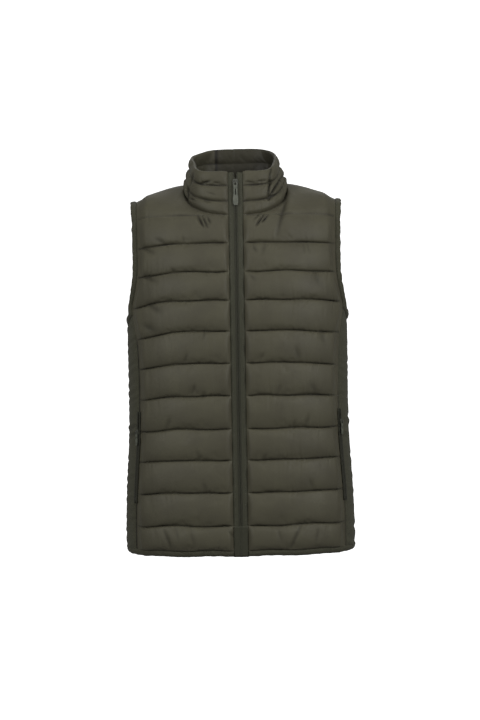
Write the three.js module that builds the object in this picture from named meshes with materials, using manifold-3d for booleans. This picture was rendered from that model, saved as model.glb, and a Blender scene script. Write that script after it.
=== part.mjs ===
// A man's sleeveless puffer vest, size M, filled out as it is when worn, with nothing inside it.
// Millimetres, +Z up. The front faces -Y and the wearer's left is +X.
// The origin is 8 mm below the line between the two points where the collar meets the shoulder
// seams, midway between them.
//
// The two quilted fronts, the quilted back, the two plain stretch side panels and the quilted
// stand collar are separate walls. Their insides lie on one smooth surface, and their outsides are
// raised between the quilting lines. Elastic binding edges the armholes and the hem. A separating
// zip closes the front up to the collar, and a small zip lies over each side seam at the pocket.
import * as THREE from "three";
import { mergeVertices } from "three/addons/utils/BufferGeometryUtils.js";
import Module from "manifold-3d";

const wasm = await Module();
wasm.setup();

// Driving dimensions

const SEAM_GAP = 0.3; // between the pieces along a seam
const COLLAR_LIFT = 0.6; // the collar over the neck seam, where the two walls meet at an angle
const WALL_AT_SEAM = 3; // shell, filling and lining sewn flat
const SIDE_WALL = 2; // stretch side panel
const PUFF = 9; // how far a channel's crown stands above its quilting lines
const YOKE_PUFF = 7; // the same above the top quilting line, over the shoulder
const YOKE_FULL = 75; // a column this long there is fully puffed, and a shorter one less
const COLLAR_PUFF = 5.5;
const COLLAR_TOP_PUFF = 2.2; // left at the collar's folded top edge

const HEM_TOP = -657.8; // where the quilted panels end and the hem binding begins
const HEM_BOTTOM = -668.5;
const QUILT_LINES = [-613, -554, -496, -440, -381, -323, -266, -211, -160, -108, -57];
const YOKE_LINE = QUILT_LINES[QUILT_LINES.length - 1];
const UNDERARM_CHANNEL = 8; // the channel, counted from the hem, in which each armhole ends
const UNDERARM_DIP = 21; // how far the side panel's top edge dips below its corners

const NECK_HALF_WIDTH = 92;
const NECK_POWER = 0.75; // how square the neck seam is in plan: 1 is an ellipse
const NECK_RISE = 8; // the neck seam at the shoulders, above the origin
const NECK_FRONT = { depth: 89, drop: 63 };
const NECK_BACK = { depth: 76, drop: 4 };
const MITRE_REACH = 14; // how far from the neck seam a wall still turns towards the other's slope
// How steeply the walls' shared edge at the neck seam looks up, against 1 level.
const MITRE_LIFT = { front: { atCentre: 0.3, atSide: 0.9 }, back: { atCentre: 0.45, atSide: 0.9 } };
// How far up the yoke its bend lies, as a share of its height: 1 is the squarest.
const YOKE_BOW = { front: { atNeck: 0.18, atTip: 0.8 }, back: { atNeck: 0.78, atTip: 0.84 } };
const SHOULDER_TIP = new THREE.Vector3(184, 2, -22);
const SHOULDER_FALL = 1.5; // the seam falls more slowly near the neck: 1 is straight
const NECK_SHARE = 0.66; // the share of a panel's half width that ends on the neck
// The puffing starts so far in from a sewn edge, and is full after so much more.
const ZIP_TAPER = { from: 1, over: 15 };
const SIDE_TAPER = { from: 8.5, over: 20 };
const NECK_TAPER = { from: 6, over: 20 };

const ZIP_EDGE = 13.3; // half the width between the two fronts
const ZIP = { tapeUnder: 0.4, tapeOver: 2, chainHalf: 3, chainOver: 2.8, chainEnd: 2.4, parting: 2.4 };
const ZIP_PATCH_OVER = 3;
const ZIP_BOX = { below: 0.2, height: 9, over: 3.6 };
const ZIP_STOP = -611; // the chain ends here, and plain reinforced tape goes on to the hem
const ZIP_CHAIN_TOP = 0.8; // share of the collar's height at which the closed chain meets the slider

const POCKET = { bottom: -574, top: -408, half: 5.5, slitHalf: 1.6, chainHalf: 1.6 };
const POCKET_LAYERS = { tapeUnder: 3.35, tapeOver: 4.5, chainUnder: 4.8, chainOver: 5.8 };
const POCKET_SLIDER = { left: -430, right: -444 };
const POCKET_END = 3; // the tape beyond the chain at the bottom and beyond the slit at the top
const POCKET_STEP = 16; // between the stations along the pocket

// The bindings' sections, as [across the edge, out of the wall].
const BINDING_FLARE = THREE.MathUtils.degToRad(20); // how far the armholes' stands off the body
const ARMHOLE_BINDING = [
  [SEAM_GAP, -0.2],
  [SEAM_GAP, 4],
  [5.5, 4.9],
  [10.6, 3.9],
  [11.4, 1.9],
  [10.6, 0],
];
const HEM_HEIGHT = HEM_TOP - HEM_BOTTOM - SEAM_GAP;
const HEM_BINDING = [
  [SEAM_GAP, 0],
  [SEAM_GAP, 3.8],
  [SEAM_GAP + 0.35 * HEM_HEIGHT, 4.4],
  [SEAM_GAP + 0.85 * HEM_HEIGHT, 1.4],
  [SEAM_GAP + HEM_HEIGHT, -0.6],
  [SEAM_GAP + 0.9 * HEM_HEIGHT, -2.6],
  [SEAM_GAP + 0.35 * HEM_HEIGHT, -0.3],
];

// The inside of the body, in level sections: half width, depth of the front and of the back.
const SQUARENESS = 2.6;
const SECTIONS = [
  { z: -680, half: 206, front: 125, back: 113 },
  { z: -655, half: 207.5, front: 127, back: 114 },
  { z: -562, half: 206, front: 130, back: 108 },
  { z: -455, half: 200, front: 131, back: 101 },
  { z: -395, half: 199, front: 133, back: 103 },
  { z: -255, half: 199.5, front: 135, back: 117 },
  { z: -180, half: 198, front: 130, back: 123 },
  { z: -108, half: 196, front: 112, back: 121 },
  { z: -57, half: 193, front: 93, back: 110 },
];

// Where the fronts and the back end at the side seam and then at the armhole, as degrees round a
// section from the centre of the front, and from the centre of the back.
const EDGE_DEGREES = [
  { z: -680, front: 62, back: 69 },
  { z: -560, front: 62, back: 70 },
  { z: -450, front: 61, back: 70 },
  { z: -325, front: 60.5, back: 69 },
  { z: -285, front: 62, back: 69 },
  { z: -250, front: 66, back: 71 },
  { z: -222, front: 70, back: 73 },
  { z: -195, front: 65.5, back: 68 },
  { z: -160, front: 61.5, back: 64 },
  { z: -108, front: 62.5, back: 63.5 },
  { z: -57, front: 66, back: 66 },
];

// How far the quilting lines sag where they reach the side of each front.
const SAG = [
  { z: -658, left: 0, right: 0 },
  { z: -613, left: 0, right: 3 },
  { z: -440, left: 0, right: 5 },
  { z: -323, left: 5, right: 9 },
  { z: -266, left: 4, right: 12 },
  { z: -211, left: 2, right: 10 },
  { z: -160, left: 0, right: 6 },
  { z: -108, left: 0, right: 5 },
  { z: -57, left: 0, right: 0 },
];
const SAG_FROM = 0.5; // share of the front's width at which the sag begins

// One channel's section from its lower quilting line to its upper one: it is fullest low down.
const CHANNEL = [
  { share: 0, puff: 0 },
  { share: 0.2, puff: 0.84 },
  { share: 0.5, puff: 1 },
  { share: 0.8, puff: 0.7 },
];
const YOKE = [
  { share: 0.1, puff: 0.6 },
  { share: 0.3, puff: 1 },
  { share: 0.52, puff: 1 },
  { share: 0.74, puff: 0.9 },
  { share: 0.9, puff: 0.6 },
  { share: 1, puff: 0 },
];

// Columns across half a panel, as shares of its width. The last but one runs beside the seam.
const FRONT_COLUMNS = [0, 0.03, 0.11, 0.21, 0.32, 0.43, 0.55, NECK_SHARE, 0.8, 0.955, 1];
const BACK_COLUMNS = [0, 0.12, 0.23, 0.34, 0.45, 0.56, NECK_SHARE, 0.8, 0.955, 1];
const SIDE_COLUMNS = [0, 0.25, 0.5, 0.75, 1];

// The collar's top edge in plan, from the zip round the back: creased at the four corners, and
// pulled open on the wearer's right. `turn` is 0 at the front's centre and 1 at the back's.
const COLLAR_TOP = {
  right: [
    { turn: 0.0225, x: ZIP_EDGE, y: -75 },
    { turn: 0.23, x: 57, y: -71 },
    { turn: 0.31, x: 69, y: -59 },
    { turn: 0.45, x: 75, y: -22 },
    { turn: 0.62, x: 69, y: 24 },
    { turn: 0.72, x: 52, y: 57 },
    { turn: 0.78, x: 38, y: 66 },
    { turn: 1, x: 0, y: 70 },
  ],
  left: [
    { turn: 0.0225, x: ZIP_EDGE, y: -75 },
    { turn: 0.2, x: 47, y: -71 },
    { turn: 0.28, x: 58, y: -60 },
    { turn: 0.43, x: 70, y: -19 },
    { turn: 0.6, x: 70, y: 29 },
    { turn: 0.72, x: 57, y: 59 },
    { turn: 1, x: 0, y: 70 },
  ],
};
const COLLAR_TOP_LEVEL = { atMiddle: 54.5, slope: 0.41 };
const COLLAR_LINES = [0, 0.31, 0.68, 1]; // the two quilting lines between its seam and its top
const COLLAR_BOW = 3;

// Small tools

const radians = THREE.MathUtils.degToRad;
const smooth = (t) => THREE.MathUtils.smoothstep(t, 0, 1);
const vec = (x, y, z) => new THREE.Vector3(x, y, z);
const UP = vec(0, 0, 1);

// A smooth curve through one column of a table, whose rows are in order of the key column.
function along(table, key, column, at) {
  const last = table.length - 1;
  const where = THREE.MathUtils.clamp(at, table[0][key], table[last][key]);
  let i = 0;
  while (i < last - 1 && where > table[i + 1][key]) i++;
  const step = (k, name) => table[k + 1][name] - table[k][name];
  const slope = (k) => step(k, column) / step(k, key);
  const here = slope(i);
  const before = i > 0 ? (slope(i - 1) + here) / 2 : here;
  const after = i + 1 < last ? (here + slope(i + 1)) / 2 : here;
  const width = step(i, key);
  const t = (where - table[i][key]) / width;
  const rise = smooth(t);
  return (
    table[i][column] * (1 - rise) +
    table[i + 1][column] * rise +
    width * (before * t * (1 - t) * (1 - t) - after * t * t * (1 - t))
  );
}

// The body's inner surface below the shoulders

// A point of the level section at z. The angle is 0 at the front and 180 degrees at the back.
function bodyPoint(angle, z) {
  const sine = Math.sin(angle);
  const cosine = Math.cos(angle);
  const power = 2 / SQUARENESS;
  const depth = along(SECTIONS, "z", cosine > 0 ? "front" : "back", z);
  const x = along(SECTIONS, "z", "half", z) * Math.sign(sine) * Math.abs(sine) ** power;
  return vec(x, -depth * Math.sign(cosine) * Math.abs(cosine) ** power, z);
}

function bodyNormal(angle, z) {
  const step = 0.01;
  const round = bodyPoint(angle + step, z).sub(bodyPoint(angle - step, z));
  const rise = bodyPoint(angle, z + 2).sub(bodyPoint(angle, z - 2));
  return round.cross(rise).normalize();
}

// The angle at a share of the arc's length between two angles of the section at z.
function angleAlong(from, to, share, z) {
  const steps = 48;
  const lengths = [0];
  let last = bodyPoint(from, z);
  for (let i = 1; i <= steps; i++) {
    const next = bodyPoint(from + ((to - from) * i) / steps, z);
    lengths.push(lengths[i - 1] + next.distanceTo(last));
    last = next;
  }
  const wanted = share * lengths[steps];
  let i = 1;
  while (i < steps && lengths[i] < wanted) i++;
  const part = (wanted - lengths[i - 1]) / (lengths[i] - lengths[i - 1]);
  return from + ((to - from) * (i - 1 + part)) / steps;
}

const zipAngle = (z) => Math.asin((ZIP_EDGE / along(SECTIONS, "z", "half", z)) ** (SQUARENESS / 2));
const frontEdge = (z) => radians(along(EDGE_DEGREES, "z", "front", z));
const backEdge = (z) => Math.PI - radians(along(EDGE_DEGREES, "z", "back", z));

// The neck and the shoulder seam, on the wearer's left

const neckTurnAtZip = Math.asin((ZIP_EDGE / NECK_HALF_WIDTH) ** (1 / NECK_POWER));

// The neck seam. The turn is 0 at the front, 90 degrees at the shoulder and 180 at the back.
function neckPoint(turn) {
  const x = NECK_HALF_WIDTH * Math.abs(Math.sin(turn)) ** NECK_POWER;
  const reach = Math.abs(Math.cos(turn)) ** NECK_POWER;
  if (turn < Math.PI / 2) return vec(x, -NECK_FRONT.depth * reach, NECK_RISE - NECK_FRONT.drop * reach);
  return vec(x, NECK_BACK.depth * reach, NECK_RISE - NECK_BACK.drop * reach);
}

// The way across the wall's edge at the neck seam, halfway between the panel and the collar.
function neckMitre(turn) {
  const step = 0.04;
  const round = neckPoint(Math.min(turn + step, Math.PI)).sub(neckPoint(Math.max(turn - step, 0)));
  const level = round.cross(UP).normalize();
  const lift = turn < Math.PI / 2 ? MITRE_LIFT.front : MITRE_LIFT.back;
  level.z = THREE.MathUtils.lerp(lift.atCentre, lift.atSide, Math.sin(turn) ** 2);
  return level.normalize();
}

// Turns a wall's way out towards the neck seam's mitre, by how near the seam the point is.
function turnToMitre(cell, seam, mitre) {
  const nearness = 1 - smooth(cell.point.distanceTo(seam) / MITRE_REACH);
  cell.out.lerp(mitre, nearness).normalize();
}

function shoulderPoint(share) {
  const point = neckPoint(Math.PI / 2).lerp(SHOULDER_TIP, share);
  return point.setZ(THREE.MathUtils.lerp(NECK_RISE, SHOULDER_TIP.z, share ** SHOULDER_FALL));
}

const shoulderNormal = vec(NECK_RISE - SHOULDER_TIP.z, 0, SHOULDER_TIP.x - NECK_HALF_WIDTH).normalize();

// The neck's turn at a share of a panel's half width.
function neckTurn(share, isFront) {
  return THREE.MathUtils.lerp(isFront ? neckTurnAtZip : Math.PI, Math.PI / 2, share / NECK_SHARE);
}

// A panel's top edge and the way across it, at a share of the panel's half width.
function topEdge(share, isFront) {
  if (share >= NECK_SHARE) {
    const point = shoulderPoint((share - NECK_SHARE) / (1 - NECK_SHARE));
    if (share > NECK_SHARE) return { point, across: shoulderNormal.clone() };
    return { point, across: neckMitre(Math.PI / 2) };
  }
  const turn = neckTurn(share, isFront);
  return { point: neckPoint(turn), across: neckMitre(turn) };
}

// The walls

const mirrored = (point) => vec(-point.x, point.y, point.z);
const mirroredCell = (cell) => ({ ...cell, point: mirrored(cell.point), out: mirrored(cell.out) });
const mirrorGrid = (grid) => grid.map((row) => row.map(mirroredCell));
const mirroredStation = ({ point, across, out }) => ({
  point: mirrored(point),
  across: mirrored(across),
  out: mirrored(out),
});

// The rows of a quilted panel, from the hem to the shoulder.
function quiltRows() {
  const levels = [HEM_TOP, ...QUILT_LINES];
  const rows = [];
  for (let i = 0; i + 1 < levels.length; i++) {
    for (const { share, puff } of CHANNEL)
      rows.push({ z: THREE.MathUtils.lerp(levels[i], levels[i + 1], share), puff: puff * PUFF });
  }
  rows.push({ z: YOKE_LINE, puff: 0 });
  for (const { share, puff } of YOKE) rows.push({ yoke: share, puff: puff * YOKE_PUFF });
  return rows;
}
const ROWS = quiltRows();
const UNDERARM_ROW = UNDERARM_CHANNEL * CHANNEL.length - 1;

// One point of a quilted panel's inside, with the way out of the wall there.
function panelPoint(row, share, isFront, side) {
  const z = row.z ?? YOKE_LINE;
  const sag = isFront ? along(SAG, "z", side, z) * smooth((share - SAG_FROM) / (1 - SAG_FROM)) : 0;
  const level = z - sag;
  const angle = isFront
    ? angleAlong(zipAngle(level), frontEdge(level), share, level)
    : angleAlong(Math.PI, backEdge(level), share, level);
  const low = bodyPoint(angle, level);
  if (row.yoke === undefined) return { point: low, out: bodyNormal(angle, level) };

  // Above the top quilting line each column bends over to the neck or to the shoulder seam.
  const top = topEdge(share, isFront);
  const lean = bodyPoint(angle, level).sub(bodyPoint(angle, level - 10)).divideScalar(10);
  const bow = isFront ? YOKE_BOW.front : YOKE_BOW.back;
  const toTip = smooth((share - NECK_SHARE) / (1 - NECK_SHARE));
  const reach = (top.point.z - low.z) * THREE.MathUtils.lerp(bow.atNeck, bow.atTip, toTip);
  const bend = low.clone().addScaledVector(lean, reach);
  bend.x = (low.x + top.point.x) / 2;
  const t = row.yoke;
  const point = low.clone().multiplyScalar((1 - t) * (1 - t));
  point.addScaledVector(bend, 2 * t * (1 - t)).addScaledVector(top.point, t * t);
  const room = smooth(low.distanceTo(top.point) / YOKE_FULL);
  return { point, out: t === 1 ? top.across : null, room, top };
}

// How much of the full puff a point keeps at a distance from a sewn edge.
const tapered = ({ from, over }, distance) => smooth((distance - from) / over);

// Fills in the ways out that no formula gives, from the surface between the neighbours.
function fillNormals(grid) {
  grid.forEach((row, j) => {
    const above = grid[Math.min(j + 1, grid.length - 1)];
    const below = grid[Math.max(j - 1, 0)];
    row.forEach((cell, i) => {
      if (cell.out) return;
      const next = row[Math.min(i + 1, row.length - 1)].point;
      const round = next.clone().sub(row[Math.max(i - 1, 0)].point);
      const rise = above[i].point.clone().sub(below[i].point);
      cell.out = round.cross(rise).normalize();
    });
  });
}

// Draws the outer rows and columns of a wall back from its seams.
function insetEdges(grid, gap) {
  const last = grid.length - 1;
  const move = (cell, next) => {
    const way = next.point.clone().sub(cell.point).normalize();
    cell.shift = (cell.shift ?? vec(0, 0, 0)).addScaledVector(way, gap);
  };
  grid[last].forEach((cell, i) => move(cell, grid[last - 1][i]));
  for (const row of grid) {
    move(row[0], row[1]);
    move(row[row.length - 1], row[row.length - 2]);
  }
  for (const cell of grid.flat()) {
    if (cell.shift) cell.point.add(cell.shift);
  }
}

// A closed wall from a grid of {point, out, thick}: a plain inside, a raised outside and its rim.
function wallGeometry(grid) {
  const rows = grid.length;
  const columns = grid[0].length;
  const positions = [];
  for (const cell of grid.flat()) positions.push(...cell.point.toArray());
  for (const cell of grid.flat()) {
    const outer = cell.point.clone().addScaledVector(cell.out, cell.thick);
    positions.push(...outer.toArray());
  }
  const inside = (j, i) => j * columns + i;
  const outside = (j, i) => rows * columns + j * columns + i;
  const faces = [];
  const quad = (a, b, c, d) => faces.push(a, b, c, a, c, d);
  for (let j = 0; j + 1 < rows; j++) {
    for (let i = 0; i + 1 < columns; i++) {
      quad(outside(j, i), outside(j, i + 1), outside(j + 1, i + 1), outside(j + 1, i));
      quad(inside(j, i), inside(j + 1, i), inside(j + 1, i + 1), inside(j, i + 1));
    }
  }
  const rim = [];
  for (let i = 0; i < columns - 1; i++) rim.push([0, i]);
  for (let j = 0; j < rows - 1; j++) rim.push([j, columns - 1]);
  for (let i = columns - 1; i > 0; i--) rim.push([rows - 1, i]);
  for (let j = rows - 1; j > 0; j--) rim.push([j, 0]);
  rim.forEach(([j, i], k) => {
    const [nextJ, nextI] = rim[(k + 1) % rim.length];
    quad(inside(j, i), inside(nextJ, nextI), outside(nextJ, nextI), outside(j, i));
  });
  return closedGeometry(positions, faces);
}

// A geometry with its faces pointing out, whichever way round they were given.
function closedGeometry(positions, faces) {
  let volume = 0;
  const corner = (k) => vec(...positions.slice(3 * k, 3 * k + 3));
  for (let f = 0; f < faces.length; f += 3)
    volume += corner(faces[f]).dot(corner(faces[f + 1]).cross(corner(faces[f + 2])));
  if (volume < 0) faces.reverse();
  const geometry = new THREE.BufferGeometry();
  geometry.setAttribute("position", new THREE.Float32BufferAttribute(positions, 3));
  geometry.setIndex(faces);
  return geometry;
}

// A flat section swept along stations of {point, across, out}. Section points are
// [distance across, distance out], or a function of the station that gives them.
function sweepGeometry(stations, section, isClosed) {
  const outline = (station, k) => (typeof section === "function" ? section(station, k) : section);
  const size = outline(stations[0], 0).length;
  const positions = [];
  stations.forEach((station, k) => {
    for (const [across, out] of outline(station, k)) {
      const corner = station.point.clone().addScaledVector(station.across, across);
      positions.push(...corner.addScaledVector(station.out, out).toArray());
    }
  });
  const faces = [];
  const count = stations.length;
  for (let k = 0; k < (isClosed ? count : count - 1); k++) {
    for (let i = 0; i < size; i++) {
      const a = k * size + i;
      const b = k * size + ((i + 1) % size);
      const c = ((k + 1) % count) * size + ((i + 1) % size);
      const d = ((k + 1) % count) * size + i;
      faces.push(a, b, c, a, c, d);
    }
  }
  if (isClosed) return closedGeometry(positions, faces);
  const end = (count - 1) * size;
  for (let i = 1; i + 1 < size; i++) faces.push(0, i + 1, i, end, end + i, end + i + 1);
  return closedGeometry(positions, faces);
}

function frontGrid(side) {
  const grid = ROWS.map((row) => FRONT_COLUMNS.map((share) => panelPoint(row, share, true, side)));
  fillNormals(grid);
  return finishPanel(grid, FRONT_COLUMNS, true);
}

function backGrid() {
  const half = ROWS.map((row) => BACK_COLUMNS.map((share) => panelPoint(row, share, false)));
  fillNormals(half);
  for (const cell of half.flat()) {
    if (cell.out.dot(vec(0, 1, 0.5)) < 0) cell.out.negate();
  }
  finishPanel(half, BACK_COLUMNS, false);
  return half.map((row) => [...row.slice(1).map(mirroredCell).reverse(), ...row]);
}

// Gives half a panel its mitre at the neck and its thickness. Its first column is on the centre.
function finishPanel(grid, columns, isFront) {
  grid.forEach((row, j) => {
    row[0].out.setX(0).normalize();
    const lengths = [0];
    for (let i = 1; i < row.length; i++)
      lengths.push(lengths[i - 1] + row[i].point.distanceTo(row[i - 1].point));
    row.forEach((cell, i) => {
      let puff = ROWS[j].puff * (cell.room ?? 1) * tapered(SIDE_TAPER, lengths.at(-1) - lengths[i]);
      if (isFront) puff *= tapered(ZIP_TAPER, lengths[i]);
      if (cell.top && columns[i] <= NECK_SHARE) {
        puff *= tapered(NECK_TAPER, cell.point.distanceTo(cell.top.point));
        turnToMitre(cell, cell.top.point, cell.top.across);
      }
      cell.thick = WALL_AT_SEAM + puff;
    });
    row[0].out.setX(0).normalize();
  });
  return grid;
}

// The side panel on the wearer's left lies between the edges of the left front and the back.
function sideGrid(front, back) {
  const grid = [];
  for (let j = 0; j <= UNDERARM_ROW; j++) {
    const fore = front[j][front[j].length - 1].point;
    const aft = back[j][back[j].length - 1].point;
    const dip = UNDERARM_DIP * (j / UNDERARM_ROW) ** 5;
    grid.push(
      SIDE_COLUMNS.map((share) => {
        const z = THREE.MathUtils.lerp(fore.z, aft.z, share) - dip * 4 * share * (1 - share);
        const angle = angleAlong(frontEdge(fore.z), backEdge(aft.z), share, z);
        const point = bodyPoint(angle, z);
        if (share === 0) point.copy(fore);
        if (share === 1) point.copy(aft);
        return { point, out: bodyNormal(angle, z), thick: SIDE_WALL };
      }),
    );
  }
  return grid;
}

// The collar: its bottom follows the neck columns of the fronts and the back.

function collarTop(side, turn) {
  const table = COLLAR_TOP[side];
  const x = along(table, "turn", "x", turn);
  const y = along(table, "turn", "y", turn);
  return vec(x, y, COLLAR_TOP_LEVEL.atMiddle + COLLAR_TOP_LEVEL.slope * y);
}

// One column of the collar, bottom to top, at a neck turn on the given side. The end columns are
// sewn flat to the zip.
function collarColumn(side, turn) {
  const foot = neckPoint(turn);
  const top = collarTop(side, turn / Math.PI);
  const isEnd = turn === neckTurnAtZip;
  if (isEnd) top.x = ZIP_EDGE;
  const outward = vec(Math.sin(turn), -Math.cos(turn), 0);
  const rows = [];
  for (let i = 0; i + 1 < COLLAR_LINES.length; i++) {
    for (const { share, puff } of CHANNEL) {
      const height = THREE.MathUtils.lerp(COLLAR_LINES[i], COLLAR_LINES[i + 1], share);
      rows.push({ height, puff: isEnd ? 0 : puff * COLLAR_PUFF });
    }
  }
  rows.push({ height: 1, puff: COLLAR_TOP_PUFF });
  return rows.map(({ height, puff }) => {
    const point = foot.clone().lerp(top, height);
    if (!isEnd) point.addScaledVector(outward, COLLAR_BOW * Math.sin(Math.PI * height));
    return { point, thick: WALL_AT_SEAM + puff, out: height === 0 ? neckMitre(turn) : null };
  });
}

function collarGrid() {
  const frontShares = FRONT_COLUMNS.filter((share) => share <= NECK_SHARE);
  const backShares = BACK_COLUMNS.filter((share) => share < NECK_SHARE).reverse();
  const turns = [
    ...frontShares.map((share) => neckTurn(share, true)),
    ...backShares.map((share) => neckTurn(share, false)),
  ];
  const left = turns.map((turn) => collarColumn("left", turn));
  const right = turns.slice(0, -1).map((turn) => collarColumn("right", turn));
  for (const cell of right.flat()) {
    cell.point = mirrored(cell.point);
    if (cell.out) cell.out = mirrored(cell.out);
  }
  const columns = [...left, ...right.reverse()];
  const grid = columns[0].map((_, j) => columns.map((column) => column[j]));
  fillNormals(grid);
  for (const row of grid) {
    row.forEach((cell, i) => turnToMitre(cell, grid[0][i].point, grid[0][i].out.clone()));
    for (const end of [row[0], row.at(-1)]) end.out.setX(0).normalize();
  }
  return grid;
}

// Draws the collar's foot up from the neck seam.
function liftFoot(grid, gap) {
  grid[0].forEach((cell, i) => {
    cell.point.addScaledVector(grid[1][i].point.clone().sub(cell.point).normalize(), gap);
  });
}

// Bindings

// Stations round the armhole on the wearer's left, from the underarm corner of the front, over
// the shoulder, down the back and through the side panel's top edge.
function armholeStations(front, back, side) {
  const edge = (row) => row[row.length - 1];
  const cells = [
    ...front.slice(UNDERARM_ROW, -1).map(edge),
    { point: SHOULDER_TIP, out: shoulderNormal },
    ...back.slice(UNDERARM_ROW, -1).map(edge).reverse(),
    ...side.at(-1).slice(1, -1).reverse(),
  ];
  const sum = cells.reduce((total, cell) => total.add(cell.point), vec(0, 0, 0));
  const centre = sum.divideScalar(cells.length);
  return cells.map((cell, k) => {
    const next = cells[(k + 1) % cells.length].point;
    const last = cells[(k + cells.length - 1) % cells.length].point;
    const across = next.clone().sub(last).cross(cell.out).normalize();
    if (across.dot(centre.clone().sub(cell.point)) < 0) across.negate();
    const turned = across.clone().multiplyScalar(Math.cos(BINDING_FLARE));
    turned.addScaledVector(cell.out, Math.sin(BINDING_FLARE));
    return { point: cell.point.clone(), across: turned, out: cell.out.clone() };
  });
}

// Stations round the hem, from the left front's zip edge round the back to the right front's.
function hemStations(left, side, back, right, otherSide) {
  const cells = [...left[0], ...side[0].slice(1, -1), ...[...back[0]].reverse()];
  cells.push(...[...otherSide[0]].reverse().slice(1, -1), ...[...right[0]].reverse());
  return cells.map(({ point, out }) => {
    const level = out.clone().setZ(0).normalize();
    return { point: point.clone(), across: vec(0, 0, -1), out: level };
  });
}

// The front zip

// The line up the centre of the front, as {point, out} at x = 0, from the hem to the collar's top.
function centreLine() {
  const points = [];
  const body = [HEM_BOTTOM, HEM_TOP, ...QUILT_LINES];
  for (const z of body) points.push(vec(0, -along(SECTIONS, "z", "front", z), z));
  const foot = neckPoint(neckTurnAtZip).setX(0);
  const top = collarTop("left", 0).setX(0);
  for (const share of [0, 0.2, 0.4, 0.6, ZIP_CHAIN_TOP, 1])
    points.push(foot.clone().lerp(top, share));
  return points.map((point, k) => {
    const next = points[Math.min(k + 1, points.length - 1)];
    const rise = next.clone().sub(points[Math.max(k - 1, 0)]);
    return { point, across: vec(1, 0, 0), out: vec(0, -rise.z, rise.y).normalize() };
  });
}
const CENTRE = centreLine();
const ZIP_OPENING = CENTRE.length - 2; // the station where the chain parts

// How far the two halves of the zip have parted at a station.
const parting = (k) => (k > ZIP_OPENING ? ZIP.parting : 0);

function tapeGeometry(sign) {
  const section = (_, k) => {
    const inner = ZIP.chainHalf + SEAM_GAP + parting(k);
    const outer = ZIP_EDGE - SEAM_GAP;
    return [
      [sign * inner, ZIP.tapeUnder],
      [sign * outer, ZIP.tapeUnder],
      [sign * outer, ZIP.tapeOver],
      [sign * inner, ZIP.tapeOver],
    ];
  };
  return sweepGeometry(CENTRE, section, false);
}

const blockSection = (from, to, under, over) => [
  [from, under],
  [to, under],
  [to, over],
  [from, over],
];

function stationAt(z) {
  let k = 1;
  while (k < CENTRE.length - 1 && CENTRE[k].point.z < z) k++;
  const low = CENTRE[k - 1];
  const high = CENTRE[k];
  const share = (z - low.point.z) / (high.point.z - low.point.z);
  const out = low.out.clone().lerp(high.out, share).normalize();
  return { point: low.point.clone().lerp(high.point, share), across: low.across, out };
}

function chainGeometry() {
  const first = stationAt(ZIP_STOP);
  const between = CENTRE.filter((s, k) => s.point.z > ZIP_STOP + 1 && k < ZIP_OPENING);
  const section = blockSection(-ZIP.chainHalf, ZIP.chainHalf, ZIP.tapeUnder, ZIP.chainOver);
  const last = stationAt(CENTRE[ZIP_OPENING].point.z - SEAM_GAP);
  return sweepGeometry([first, ...between, last], section, false);
}

// One half of the chain above the slider, on the edge of its parted tape.
function chainEndGeometry(sign) {
  const section = (_, k) => {
    const apart = SEAM_GAP + parting(ZIP_OPENING + k);
    return blockSection(sign * apart, sign * (apart + ZIP.chainEnd), ZIP.tapeUnder, ZIP.chainOver);
  };
  return sweepGeometry([CENTRE[ZIP_OPENING], CENTRE[ZIP_OPENING + 1]], section, false);
}

// The plain reinforced end of the zip below the chain, on one side.
function zipEndGeometry(sign) {
  const stations = [HEM_BOTTOM + ZIP_BOX.height, ZIP_STOP - SEAM_GAP].map(stationAt);
  const inner = sign * SEAM_GAP;
  const outer = sign * ZIP.chainHalf;
  const section = blockSection(inner, outer, ZIP.tapeUnder, ZIP_PATCH_OVER);
  return sweepGeometry(stations, section, false);
}

function zipBoxGeometry() {
  const ends = [HEM_BOTTOM - ZIP_BOX.below, HEM_BOTTOM + ZIP_BOX.height - SEAM_GAP];
  const section = blockSection(-ZIP.chainHalf, ZIP.chainHalf, ZIP.tapeUnder, ZIP_BOX.over);
  return sweepGeometry(ends.map(stationAt), section, false);
}

// Zip sliders and pull tabs. Their own frame has X across the zip, Z up it and -Y out of it.

const FRONT_HARDWARE = {
  width: 10.4,
  length: 14,
  seat: ZIP.chainOver + SEAM_GAP,
  tape: ZIP.tapeOver + SEAM_GAP,
  plate: 1.6,
  bridge: { width: 2.2, length: 6.2, eye: 3.4, eyeHeight: 3, roof: 1.2 },
  pull: { thick: 1.6, bar: 0.8, half: 3.7, ring: 5.2, bulge: 4.7, length: 43 },
  slot: { from: 12, to: 24, half: 0.9 },
};
const POCKET_HARDWARE = {
  width: 7.2,
  length: 9,
  seat: POCKET_LAYERS.chainOver + SEAM_GAP,
  tape: POCKET_LAYERS.tapeOver + SEAM_GAP,
  plate: 1.2,
  bridge: { width: 1.8, length: 5, eye: 2.8, eyeHeight: 2.7, roof: 1 },
  pull: { thick: 1.3, bar: 0.65, half: 2.5, ring: 4.4, bulge: 2.9, length: 24 },
  slot: { from: 8, to: 13, half: 0.7 },
};
const SLIDER_FLANGE = 0.9; // the thickness of a slider's turned-down edges
const EYE_CLEARANCE = 0.45; // between a pull tab and the bridge that it hangs from

const hingeHeight = (kit) => kit.seat + kit.plate + kit.bridge.eyeHeight / 2;

function toSolid(geometry) {
  const bare = geometry.index ? geometry.toNonIndexed() : geometry.clone();
  bare.deleteAttribute("normal");
  bare.deleteAttribute("uv");
  const merged = mergeVertices(bare, 1e-4);
  const vertProperties = new Float32Array(merged.attributes.position.array);
  const triVerts = new Uint32Array(merged.index.array);
  return new wasm.Manifold(new wasm.Mesh({ numProp: 3, vertProperties, triVerts }));
}

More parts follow.
